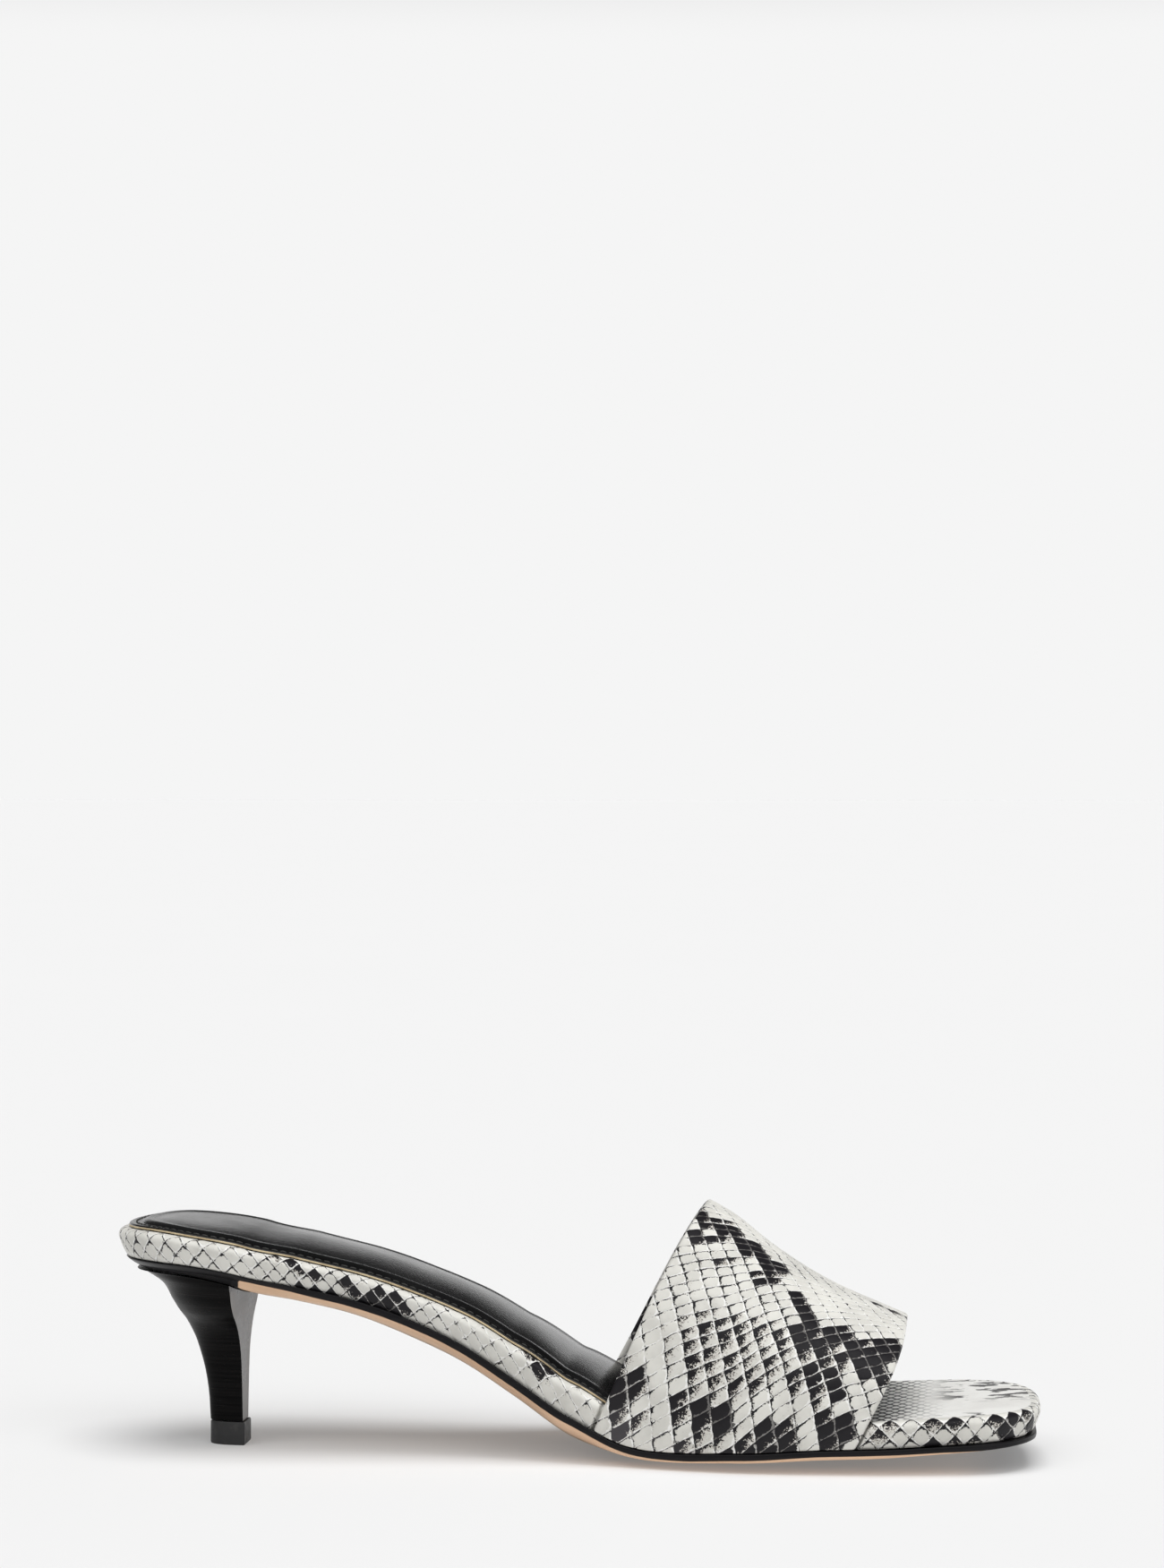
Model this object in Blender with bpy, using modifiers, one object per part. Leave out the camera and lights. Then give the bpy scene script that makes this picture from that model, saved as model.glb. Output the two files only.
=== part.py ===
# Kitten heel mule, left shoe, open at the toe and at the back
# The shoe stands on the floor plane with its toe at +X and its outer side at +Y.
# The origin is on the floor under the middle of the shoe. All sizes are in metres.

import bpy
import bmesh
import math
from mathutils import Vector

# Overall sizes of the shoe
SHOE_LENGTH = 0.240
BALL_WIDTH = 0.078
SEAT_HEIGHT = 0.048
TOE_SPRING = 0.0072
INSTEP_HEIGHT = 0.0657

# Plan outline: the round heel seat and the two toe corners
SEAT_ROUND = 0.033
SEAT_POWER = 2.15
INNER_TOE_ROUND = 0.022
INNER_TOE_POWER = 2.6
OUTER_TOE_ROUND = 0.028
OUTER_TOE_POWER = 3.1
TOE_TIP_SIDE = -0.012

# Sole
SOLE_EDGE = 0.0020
TOE_EDGE = 0.0013
TOE_TAPER = 0.045
SOLE_BELLY = 0.0010
SOLE_CROWN = 0.0035
SOLE_SETBACK = 0.0012
SEAT_SETBACK = 0.0020
SEAT_TRIM = 0.0012
TREAD_FLAT = 0.0003

# Wrapped footbed and the sock on it
FOOTBED_DEPTH = 0.0066
FOOTBED_ROUND = 0.0026
SOCK_INSET = 0.0028
SOCK_FLANGE = 0.0008
SOCK_FLANGE_WIDTH = 0.0032
SOCK_PAD = 0.0010
SOCK_STEP_WIDTH = 0.0020

# Band over the forefoot. BAND_FOOT is the share of each half of the arch that stands upright on the sole.
BAND_WALL = 0.0018
BAND_SETBACK = 0.0004
BAND_EDGE_ROUND = 0.0005
BAND_FOOT = 0.16

# The sock ends under the band, at this share of the way from the band's rear edge to its front edge
SOCK_END = 0.30

# Width of the ramp by which the footbed steps in under the band
NOTCH_RAMP = 0.0006

# Heel and its rubber tip. The lip curves the breast forward from a share of SEAT_HEIGHT up.
HEEL_TIP_WIDTH = 0.0082
HEEL_TIP_DEPTH = 0.0092
BREAST_LIP = 0.0035
LIP_START = 0.80
LIP_POWER = 1.5
LIFT_HEIGHT = 0.0060
LIFT_PROUD = 0.0006
LIFT_CHAMFER = 0.0003

# Clearance between pieces that touch on the real shoe
GAP = 0.0003

# Numbers of points in the lofts
SEAT_STEPS = 9
WAIST_STEPS = 12
NOTCH_STEPS = 9
BALL_STEPS = 3
TOE_STEPS = 9
ARCH_STEPS = 32
BAND_STEPS = 12
HEEL_STEPS = 9
PLATE_SHARES = (0, 0.12, 0.3, 0.5, 0.75, 1)
SOCK_SHARES = (0, 0.3, 0.65, 1)
BREAST_SHARES = (0.6, 0.25, -0.25, -0.6)

# Steps of the search for a band edge, and of the slope of the shank along the shoe
EDGE_PASSES = 30
SLOPE_STEPS = 200

# The seat cutter reaches past the sole by this share of the sole's half width
CUTTER_MARGIN = 0.15

# Angles in degrees above which an edge stays sharp, and above which it is rounded
SHARP_ANGLE = 40
ROUND_ANGLE = 50

# The last from heel to toe. Shares: along of SHOE_LENGTH, rise of SEAT_HEIGHT, spring of TOE_SPRING,
# crown of SOLE_CROWN, inner and outer of BALL_WIDTH, depth of FOOTBED_DEPTH.
LAST_COLUMNS = ("along", "rise", "spring", "crown", "inner", "outer", "depth")
LAST_ROWS = (
    (0.000, 0.981, 0.00, 0.20, 0.371, 0.378, 1.08),
    (0.050, 0.971, 0.00, 0.37, 0.373, 0.378, 1.13),
    (0.100, 0.931, 0.00, 0.77, 0.374, 0.378, 1.03),
    (0.150, 0.850, 0.00, 1.29, 0.372, 0.374, 1.00),
    (0.208, 0.798, 0.00, 1.26, 0.362, 0.366, 0.97),
    (0.267, 0.725, 0.00, 1.40, 0.350, 0.356, 0.90),
    (0.325, 0.610, 0.00, 1.63, 0.338, 0.348, 0.90),
    (0.383, 0.471, 0.00, 1.69, 0.332, 0.347, 0.95),
    (0.442, 0.279, 0.00, 1.77, 0.340, 0.368, 1.02),
    (0.500, 0.081, 0.00, 1.94, 0.363, 0.412, 1.12),
    (0.558, 0.006, 0.00, 1.09, 0.402, 0.460, 1.10),
    (0.617, 0.000, 0.00, 0.77, 0.449, 0.492, 1.04),
    (0.683, 0.000, 0.00, 0.94, 0.489, 0.499, 1.00),
    (0.758, 0.000, 0.14, 0.97, 0.500, 0.485, 1.00),
    (0.833, 0.000, 0.33, 0.77, 0.494, 0.448, 1.02),
    (0.908, 0.000, 0.67, 0.40, 0.468, 0.418, 1.04),
    (0.967, 0.000, 0.90, 0.17, 0.440, 0.395, 1.04),
    (1.000, 0.000, 1.00, 0.11, 0.415, 0.380, 1.04),
)

# The crest of the foot under the band. Shares: along of SHOE_LENGTH, height of INSTEP_HEIGHT,
# side of BALL_WIDTH. Power is the squareness of the arch.
CREST_COLUMNS = ("along", "height", "side", "inner_power", "outer_power")
CREST_ROWS = (
    (0.480, 1.320, -0.070, 2.00, 1.85),
    (0.560, 1.180, -0.080, 2.00, 1.85),
    (0.644, 1.006, -0.090, 2.00, 1.85),
    (0.673, 0.945, -0.095, 2.02, 1.88),
    (0.711, 0.836, -0.102, 2.06, 1.92),
    (0.750, 0.739, -0.108, 2.12, 1.98),
    (0.788, 0.663, -0.112, 2.18, 2.04),
    (0.826, 0.603, -0.115, 2.24, 2.10),
    (0.860, 0.550, -0.118, 2.30, 2.15),
    (0.900, 0.500, -0.120, 2.30, 2.15),
)

# Where the two edges of the band lie, as shares of SHOE_LENGTH. Bow above 1 curves the edge forward.
BAND_COLUMNS = ("inner_foot", "crest", "outer_foot", "bow")
BAND_CREST = BAND_COLUMNS.index("crest")
BAND_REAR = (0.5295, 0.6455, 0.515, 0.95)
BAND_FRONT = (0.807, 0.8595, 0.775, 1.5)

# Side wall of the footbed from its foot to its top. Shares: inset of FOOTBED_ROUND, height of its depth.
WALL_COLUMNS = ("inset", "height")
WALL_ROWS = (
    (0.95, 0.00),
    (0.72, 0.10),
    (0.42, 0.32),
    (0.20, 0.52),
    (0.03, 0.74),
    (0.14, 0.88),
    (0.48, 0.97),
    (0.85, 1.00),
)

# The sock from its rim to its middle. Place runs from 0 at the rim over 1 at the inner edge of the flange to
# 2 at the end of the step. Shares: to_middle of the rest of the way, flange of its height, pad of its height.
SOCK_COLUMNS = ("place", "to_middle", "flange", "pad")
SOCK_ROWS = (
    (0.00, 0.00, 0.70, 0.00),
    (0.08, 0.00, 1.00, 0.00),
    (1.00, 0.00, 1.00, 0.00),
    (1.35, 0.00, 1.00, 0.45),
    (2.00, 0.00, 1.00, 0.80),
    (2.00, 0.35, 1.00, 0.95),
    (2.00, 1.00, 1.00, 1.00),
)

# The heel from its tip up. Shares: height of SEAT_HEIGHT, back of the way from the tip's back to the
# back of the seat, width of the way from the tip's half width to the half width of the seat.
HEEL_COLUMNS = ("height", "back", "width")
HEEL_ROWS = (
    (0.130, 0.000, 0.000),
    (0.290, 0.026, 0.035),
    (0.400, 0.067, 0.070),
    (0.515, 0.139, 0.135),
    (0.575, 0.185, 0.210),
    (0.635, 0.247, 0.320),
    (0.690, 0.314, 0.470),
    (0.745, 0.402, 0.660),
    (0.805, 0.483, 0.800),
    (0.870, 0.606, 0.900),
    (0.915, 0.749, 0.970),
    (0.965, 0.906, 1.000),
    (1.040, 1.000, 1.000),
)


def column(rows, names, name):
    """All values of one named column of a table"""
    place = names.index(name)
    return [row[place] for row in rows]


def smooth(xs, ys, x):
    """Smooth curve through the rows of a table, level where the rows turn"""
    x = min(max(x, xs[0]), xs[-1])
    i = 0
    while i < len(xs) - 2 and x > xs[i + 1]:
        i += 1

    def rise(k):
        return (ys[k + 1] - ys[k]) / (xs[k + 1] - xs[k])

    def slope(k):
        if k == 0:
            return rise(0)
        if k == len(xs) - 1:
            return rise(k - 1)
        before = rise(k - 1)
        after = rise(k)
        if before * after <= 0:
            return 0.0
        share = (xs[k + 1] - xs[k]) / (xs[k + 1] - xs[k - 1])
        return before * share + after * (1 - share)

    width = xs[i + 1] - xs[i]
    t = (x - xs[i]) / width
    start = ys[i] * (1 + 2 * t) * (1 - t) ** 2 + slope(i) * width * t * (1 - t) ** 2
    end = ys[i + 1] * (3 - 2 * t) * t ** 2 - slope(i + 1) * width * (1 - t) * t ** 2
    return start + end


def blend(a, b, share):
    return a + (b - a) * share


def last(name, x):
    """One column of the last at a distance x from the back of the heel"""
    along = column(LAST_ROWS, LAST_COLUMNS, "along")
    return smooth(along, column(LAST_ROWS, LAST_COLUMNS, name), x / SHOE_LENGTH)


def crest(name, x):
    """One column of the crest at a distance x from the back of the heel"""
    along = column(CREST_ROWS, CREST_COLUMNS, "along")
    return smooth(along, column(CREST_ROWS, CREST_COLUMNS, name), x / SHOE_LENGTH)


def tread_line(x):
    """Height of the middle of the underside"""
    return last("rise", x) * SEAT_HEIGHT + last("spring", x) * TOE_SPRING


def underside(x, q):
    """Height of the underside, with q from 0 at the middle to 1 at the edge"""
    crowned = tread_line(x) + last("crown", x) * SOLE_CROWN * q ** 2
    return max(0.0, crowned - TREAD_FLAT)


def upright(x):
    """Factor from a thickness to its upright height on the slope of the shank"""
    step = SHOE_LENGTH / SLOPE_STEPS
    slope = (underside(x + step, 1) - underside(x - step, 1)) / (2 * step)
    return math.hypot(1, slope)


def sole_top(x, q):
    """Height of the upper face of the sole"""
    taper = min(max((x - SHOE_LENGTH) / TOE_TAPER + 1, 0), 1)
    thickness = blend(SOLE_EDGE, TOE_EDGE, taper) + SOLE_BELLY * (1 - min(q, 1) ** 2)
    return underside(x, q) + thickness * upright(x)


def footbed_foot(x, q):
    return sole_top(x, q) + GAP


def footbed_top(x):
    return footbed_foot(x, 1) + last("depth", x) * FOOTBED_DEPTH * upright(x)


def sole_setback(x):
    """How far the edge of the sole lies inside the plan outline, more at the heel seat"""
    share = min(max((x - SEAT_ROUND) / SEAT_ROUND, 0), 1)
    return blend(SEAT_SETBACK, SOLE_SETBACK, share * share * (3 - 2 * share))


def tread_setback(x):
    """The same for the lower corner of that edge, which is trimmed on a slant over the heel"""
    share = min(max((x - SEAT_ROUND) / SEAT_ROUND, 0), 1)
    return blend(SEAT_SETBACK + SEAT_TRIM, SOLE_SETBACK, share * share * (3 - 2 * share))


def side_width(side, x):
    """Distance from the axis to the plan outline before the ends are rounded, side is -1 or +1"""
    name = "inner" if side < 0 else "outer"
    return last(name, x) * BALL_WIDTH


def arch_point(x, turn):
    """Outer face of the band on the section at x, with turn from 0 at the inner foot to 1 at the outer"""
    side = -1 if turn < 0.5 else 1
    foot = sole_top(x, 1) + GAP
    shoulder = footbed_top(x)
    top = crest("height", x) * INSTEP_HEIGHT
    crest_y = crest("side", x) * BALL_WIDTH
    flat = side * (side_width(side, x) - BAND_SETBACK)
    from_foot = 2 * min(turn, 1 - turn)
    if from_foot < BAND_FOOT:
        share = from_foot / BAND_FOOT
        tuck = (SOLE_SETBACK - BAND_SETBACK) * (1 - share) ** 2
        return Vector((x, flat - side * tuck, blend(foot, shoulder, share)))
    power = crest("inner_power" if side < 0 else "outer_power", x)
    angle = math.pi / 2 * (from_foot - BAND_FOOT) / (1 - BAND_FOOT)
    across = max(0.0, math.cos(angle)) ** (2 / power)
    up = math.sin(angle) ** (2 / power)
    return Vector((x, blend(crest_y, flat, across), blend(shoulder, top, up)))


def band_edge(row, turn):
    """Distance from the heel of one edge of the band, which leans forward as it climbs to the crest"""
    inner_foot, crest_at, outer_foot, bow = row
    foot_at = blend(inner_foot, outer_foot, (1 - math.cos(math.pi * turn)) / 2)
    x = foot_at * SHOE_LENGTH
    for _ in range(EDGE_PASSES):
        foot = sole_top(x, 1) + GAP
        top = crest("height", x) * INSTEP_HEIGHT
        share = (arch_point(x, turn).z - foot) / (top - foot)
        lean = 1 - (1 - min(max(share, 0), 1)) ** bow
        x = blend(foot_at, crest_at, lean) * SHOE_LENGTH
    return x


def notch(side, up):
    """Where the band covers the footbed, at a share up the way from the foot of the wall to its shoulder"""
    from_foot = up * BAND_FOOT / 2
    turn = from_foot if side < 0 else 1 - from_foot
    return band_edge(BAND_REAR, turn) - GAP, band_edge(BAND_FRONT, turn) + GAP


def outline(side, up):
    """One side of the plan outline, from the back of the heel to the tip of the toe, with points at the ends
    of the notch"""
    toe_round = INNER_TOE_ROUND if side < 0 else OUTER_TOE_ROUND
    toe_power = INNER_TOE_POWER if side < 0 else OUTER_TOE_POWER
    toe_start = SHOE_LENGTH - toe_round
    rear, front = notch(side, up)
    stretches = (
        (SEAT_ROUND, rear - NOTCH_RAMP, WAIST_STEPS),
        (rear - NOTCH_RAMP, rear, 1),
        (rear, front, NOTCH_STEPS),
        (front, front + NOTCH_RAMP, 1),
        (front + NOTCH_RAMP, toe_start, BALL_STEPS),
    )
    points = []
    for i in range(SEAT_STEPS):
        turn = math.pi / 2 * i / SEAT_STEPS
        x = SEAT_ROUND * (1 - math.cos(turn) ** (2 / SEAT_POWER))
        points.append(Vector((x, side * side_width(side, x) * math.sin(turn) ** (2 / SEAT_POWER))))
    for start, end, steps in stretches:
        for i in range(steps):
            x = blend(start, end, i / steps)
            points.append(Vector((x, side * side_width(side, x))))
    for i in range(TOE_STEPS + 1):
        turn = math.pi / 2 * i / TOE_STEPS
        x = toe_start + toe_round * math.sin(turn) ** (2 / toe_power)
        full = side * side_width(side, x)
        points.append(Vector((x, blend(TOE_TIP_SIDE, full, max(0, math.cos(turn)) ** (2 / toe_power)))))
    return points


def centre_line(inner, outer):
    """Middle of each pair of outline points, held still inside the round seat and the toe"""
    toe_first = len(inner) - 1 - TOE_STEPS
    middles = []
    for i in range(len(inner)):
        k = min(max(i, SEAT_STEPS), toe_first)
        middles.append((inner[k] + outer[k]) / 2)
    return middles


def plan(up):
    """The closed outline, out along the inner side and back along the outer side, and its middles"""
    inner = outline(-1, up)
    outer = outline(+1, up)
    middles = centre_line(inner, outer)
    return inner + outer[-2:0:-1], middles + middles[-2:0:-1]


PLANS = {up: plan(up) for up in column(WALL_ROWS, WALL_COLUMNS, "height")}

# Moves the middle of the shoe's box to the origin
SIDE_SHIFT = -(max(p.y for p in PLANS[0][0]) + min(p.y for p in PLANS[0][0])) / 2


def placed(x, y, z):
    """A point measured from the back of the heel and the axis, in the shoe's own frame"""
    return Vector((x - SHOE_LENGTH / 2, y + SIDE_SHIFT, z))


def band_cover(side, x, up):
    """How far the footbed steps in where the band wraps down past it"""
    rear, front = notch(side, up)
    inside = min(x - rear, front - x) / NOTCH_RAMP + 1
    return (BAND_SETBACK + BAND_WALL + GAP) * min(max(inside, 0), 1)


def ring(inset, share, height, up=0, covered=False):
    """One ring of a plan body: moved in by inset(x) from the outline, then by a share of the way to the
    middle, at the height that height(x, q) gives. Its notch is the one at the share up of the wall."""
    points = []
    for edge, middle in zip(*PLANS[up]):
        inward = middle - edge
        full = inward.length
        step = inset(edge.x) if callable(inset) else inset
        if covered:
            step += band_cover(-1 if edge.y < middle.y else 1, edge.x, up)
        start = edge + inward * (step / full)
        point = start.lerp(middle, share)
        q = (point - middle).length / full
        points.append(placed(point.x, point.y, height(point.x, q)))
    return points


def ring_mesh(name, rings):
    """Closed mesh from rings, whose first and last lie on the centre line"""
    bm = bmesh.new()
    loops = [[bm.verts.new(p) for p in points] for points in rings]
    count = len(loops[0])
    for low, high in zip(loops, loops[1:]):
        for i in range(count):
            j = (i + 1) % count
            bm.faces.new((low[i], low[j], high[j], high[i]))
    bmesh.ops.remove_doubles(bm, verts=bm.verts, dist=1e-6)
    bmesh.ops.recalc_face_normals(bm, faces=bm.faces)
    mesh = bpy.data.meshes.new(name)
    bm.to_mesh(mesh)
    bm.free()
    return mesh


def new_material(name, colour, roughness, coat):
    material = bpy.data.materials.new(name)
    material.use_nodes = True
    shader = material.node_tree.nodes["Principled BSDF"]
    shader.inputs["Base Color"].default_value = (*colour, 1)
    shader.inputs["Roughness"].default_value = roughness
    shader.inputs["Metallic"].default_value = 0
    shader.inputs["Coat Weight"].default_value = coat
    return material


def add_piece(name, mesh, collection, material):
    piece = bpy.data.objects.new(name, mesh)
    collection.objects.link(piece)
    mesh.materials.append(material)
    mesh.shade_smooth()
    mesh.set_sharp_from_angle(angle=math.radians(SHARP_ANGLE))
    return piece


def outsole_mesh():
    """Full length sole board: thin at its inked edge, thicker and crowned in the middle"""
    rings = [ring(tread_setback, share, underside) for share in reversed(PLATE_SHARES)]
    rings += [ring(sole_setback, share, sole_top) for share in PLATE_SHARES]
    return ring_mesh("outsole", rings)


def footbed_mesh():
    """Footbed with a bulging wrapped side wall and a flat top that carries the sock"""
    insets = column(WALL_ROWS, WALL_COLUMNS, "inset")
    heights = column(WALL_ROWS, WALL_COLUMNS, "height")
    foot_inset = insets[0] * FOOTBED_ROUND
    inner_shares = PLATE_SHARES[:0:-1]
    rings = [ring(foot_inset, share, footbed_foot, covered=True) for share in inner_shares]
    for inset, share in zip(insets, heights):

        def wall(x, q, share=share):
            return blend(footbed_foot(x, q), footbed_top(x), share)

        rings.append(ring(inset * FOOTBED_ROUND, 0, wall, up=share, covered=True))
    top = lambda x, q: footbed_top(x)
    rings += [ring(SOCK_INSET, share, top, up=1, covered=True) for share in SOCK_SHARES]
    return ring_mesh("footbed", rings)


def sock_mesh():
    """Padded sock: a flat flange all round, a step up to the pad, cut off straight under the band"""
    foot = lambda x, q: footbed_top(x) + GAP

    def raised(lift):
        return lambda x, q: footbed_top(x) + GAP + lift * upright(x)

    rings = [ring(SOCK_INSET, share, foot, up=1) for share in reversed(SOCK_SHARES)]
    for place, to_middle, flange, pad in SOCK_ROWS:
        inset = SOCK_INSET + min(place, 1) * SOCK_FLANGE_WIDTH + max(place - 1, 0) * SOCK_STEP_WIDTH
        top = raised(flange * SOCK_FLANGE + pad * SOCK_PAD)
        rings.append(ring(inset, to_middle, top, up=1))
    end = blend(BAND_REAR[BAND_CREST], BAND_FRONT[BAND_CREST], SOCK_END) * SHOE_LENGTH
    mesh = ring_mesh("sock_pad", rings)
    bm = bmesh.new()
    bm.from_mesh(mesh)
    cut = bmesh.ops.bisect_plane(
        bm,
        geom=bm.verts[:] + bm.edges[:] + bm.faces[:],
        plane_co=placed(end, 0, 0),
        plane_no=(1, 0, 0),
        clear_outer=True,
    )
    edges = [item for item in cut["geom_cut"] if isinstance(item, bmesh.types.BMEdge)]
    bmesh.ops.edgeloop_fill(bm, edges=edges)
    bmesh.ops.recalc_face_normals(bm, faces=bm.faces)
    bm.to_mesh(mesh)
    bm.free()
    return mesh


def band_mesh():
    """Open arch surface, one row of points for each step round the foot"""
    bm = bmesh.new()
    rows = []
    for i in range(ARCH_STEPS + 1):
        turn = i / ARCH_STEPS
        rear = band_edge(BAND_REAR, turn)
        front = band_edge(BAND_FRONT, turn)
        points = [arch_point(blend(rear, front, j / BAND_STEPS), turn) for j in range(BAND_STEPS + 1)]
        rows.append([bm.verts.new(placed(p.x, p.y, p.z)) for p in points])
    for row, after in zip(rows, rows[1:]):
        for j in range(BAND_STEPS):
            bm.faces.new((row[j], row[j + 1], after[j + 1], after[j]))
    mesh = bpy.data.meshes.new("upper_band")
    bm.to_mesh(mesh)
    bm.free()
    return mesh


def heel_ring(bm, height, back, half_width, lip, breast=SEAT_ROUND):
    """One D shaped ring of the heel: round at the back, flat at the breast"""
    centre = (side_width(1, SEAT_ROUND) - side_width(-1, SEAT_ROUND)) / 2
    points = []
    for i in range(-HEEL_STEPS, HEEL_STEPS + 1):
        turn = math.pi / 2 * abs(i) / HEEL_STEPS
        x = breast - (breast - back) * max(0, math.cos(turn)) ** (2 / SEAT_POWER)
        y = math.copysign(half_width * math.sin(turn) ** (2 / SEAT_POWER), i)
        points.append((x, y))
    for share in BREAST_SHARES:
        points.append((breast + lip * (1 - share ** 2), share * half_width))
    return [bm.verts.new(placed(x, y + centre, height)) for x, y in points]


def lofted(bm, rings):
    """Side faces between rings, with both ends capped"""
    count = len(rings[0])
    for low, high in zip(rings, rings[1:]):
        for i in range(count):
            j = (i + 1) % count
            bm.faces.new((low[i], low[j], high[j], high[i]))
    bm.faces.new(rings[0])
    bm.faces.new(rings[-1])
    bmesh.ops.recalc_face_normals(bm, faces=bm.faces)


def heel_mesh():
    """Heel block, taller than it will be: its top is then cut to the underside of the sole"""
    tip_back = SEAT_ROUND - HEEL_TIP_DEPTH
    seat_back = SEAT_SETBACK + SEAT_TRIM + GAP
    seat_half = (side_width(-1, SEAT_ROUND) + side_width(1, SEAT_ROUND)) / 2 - seat_back
    bm = bmesh.new()
    rings = []
    for height, back, width in HEEL_ROWS:
        z = max(height * SEAT_HEIGHT, LIFT_HEIGHT + GAP)
        lip = BREAST_LIP * max(0, (height - LIP_START) / (1 - LIP_START)) ** LIP_POWER
        half = blend(HEEL_TIP_WIDTH / 2, seat_half, width)
        rings.append(heel_ring(bm, z, blend(tip_back, seat_back, back), half, lip))
    lofted(bm, rings)
    mesh = bpy.data.meshes.new("heel")
    bm.to_mesh(mesh)
    bm.free()
    return mesh


def lift_mesh():
    """Rubber tip under the heel, a little wider than the heel all round"""
    back = SEAT_ROUND - HEEL_TIP_DEPTH
    breast = SEAT_ROUND + LIFT_PROUD
    half = HEEL_TIP_WIDTH / 2 + LIFT_PROUD
    bm = bmesh.new()
    levels = (0, LIFT_HEIGHT)
    lofted(bm, [heel_ring(bm, z, back, half, 0, breast) for z in levels])
    mesh = bpy.data.meshes.new("top_lift")
    bm.to_mesh(mesh)
    bm.free()
    return mesh


def seat_cutter_mesh():
    """Block that fills everything above the underside of the sole, less the clearance"""
    low = lambda x, q: underside(x, q) - GAP
    high = lambda x, q: 2 * SEAT_HEIGHT
    rings = [ring(0, share, low) for share in (*reversed(PLATE_SHARES), -CUTTER_MARGIN)]
    rings += [ring(0, share, high) for share in (-CUTTER_MARGIN, 1)]
    return ring_mesh("seat_cutter", rings)


def build():
    for item in list(bpy.data.objects):
        bpy.data.objects.remove(item, do_unlink=True)
    shoe = bpy.data.collections.new("kitten_heel_mule")
    cutters = bpy.data.collections.new("cutters")
    bpy.context.scene.collection.children.link(shoe)
    bpy.context.scene.collection.children.link(cutters)

    tan_leather = new_material("tan_sole_leather", (0.76, 0.50, 0.30), 0.45, 0.1)
    snake_rand = new_material("snake_leather_rand", (0.78, 0.76, 0.70), 0.40, 0.2)
    snake_band = new_material("snake_leather_band", (0.80, 0.78, 0.72), 0.40, 0.2)
    black_sock = new_material("black_sock_leather", (0.02, 0.02, 0.022), 0.45, 0.1)
    black_stack = new_material("black_heel_stack", (0.018, 0.017, 0.017), 0.30, 0.3)
    black_rubber = new_material("black_rubber", (0.03, 0.03, 0.03), 0.75, 0.0)

    add_piece("outsole", outsole_mesh(), shoe, tan_leather)
    add_piece("footbed", footbed_mesh(), shoe, snake_rand)
    add_piece("sock_pad", sock_mesh(), shoe, black_sock)

    band = add_piece("upper_band", band_mesh(), shoe, snake_band)
    wall = band.modifiers.new("wall", "SOLIDIFY")
    wall.thickness = BAND_WALL
    wall.offset = -1
    wall.use_even_offset = True
    folded = band.modifiers.new("folded edges", "BEVEL")
    folded.width = BAND_EDGE_ROUND
    folded.segments = 2
    folded.limit_method = "ANGLE"
    folded.angle_limit = math.radians(ROUND_ANGLE)

    heel = add_piece("heel", heel_mesh(), shoe, black_stack)
    cutter = bpy.data.objects.new("seat_cutter", seat_cutter_mesh())
    cutters.objects.link(cutter)
    cutter.hide_render = True
    cutter.display_type = "WIRE"
    seat = heel.modifiers.new("seat", "BOOLEAN")
    seat.operation = "DIFFERENCE"
    seat.solver = "EXACT"
    seat.object = cutter

    lift = add_piece("top_lift", lift_mesh(), shoe, black_rubber)
    rounding = lift.modifiers.new("worn rim", "BEVEL")
    rounding.width = LIFT_CHAMFER
    rounding.segments = 1
    rounding.limit_method = "ANGLE"
    rounding.angle_limit = math.radians(ROUND_ANGLE)


build()
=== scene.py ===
import math

import bmesh
import bpy
import numpy as np
from mathutils import Matrix, Vector


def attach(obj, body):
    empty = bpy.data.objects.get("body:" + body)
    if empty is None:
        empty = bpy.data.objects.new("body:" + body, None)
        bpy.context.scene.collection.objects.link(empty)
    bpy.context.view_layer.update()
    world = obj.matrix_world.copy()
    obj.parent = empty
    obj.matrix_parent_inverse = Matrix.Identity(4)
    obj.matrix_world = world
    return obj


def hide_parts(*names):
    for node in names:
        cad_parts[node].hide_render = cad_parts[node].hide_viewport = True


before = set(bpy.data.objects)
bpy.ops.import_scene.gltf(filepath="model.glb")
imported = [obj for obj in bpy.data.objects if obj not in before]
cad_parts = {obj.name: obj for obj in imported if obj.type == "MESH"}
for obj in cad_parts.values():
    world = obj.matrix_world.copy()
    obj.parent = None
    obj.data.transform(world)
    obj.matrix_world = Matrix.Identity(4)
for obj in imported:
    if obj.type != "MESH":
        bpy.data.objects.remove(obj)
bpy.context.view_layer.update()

# Outsole
# One thin board of tan leather from heel to toe, crowned underneath and thinner at the toe.
# Its cut edge is inked black and burnished; the underside is left natural.
shoe_length = 0.240
ball_width = 0.078
seat_height = 0.048
toe_spring = 0.0072
seat_round = 0.033
seat_power = 2.15
toe_rounds = {-1: (0.022, 2.6), 1: (0.028, 3.1)}
toe_tip_side = -0.012
sole_edge = 0.0020
toe_edge = 0.0013
toe_taper = 0.045
sole_belly = 0.0010
sole_crown = 0.0035
sole_setback = 0.0012
seat_setback = 0.0020
seat_trim = 0.0026
tread_flat = 0.0003
gap = 0.0003

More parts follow.
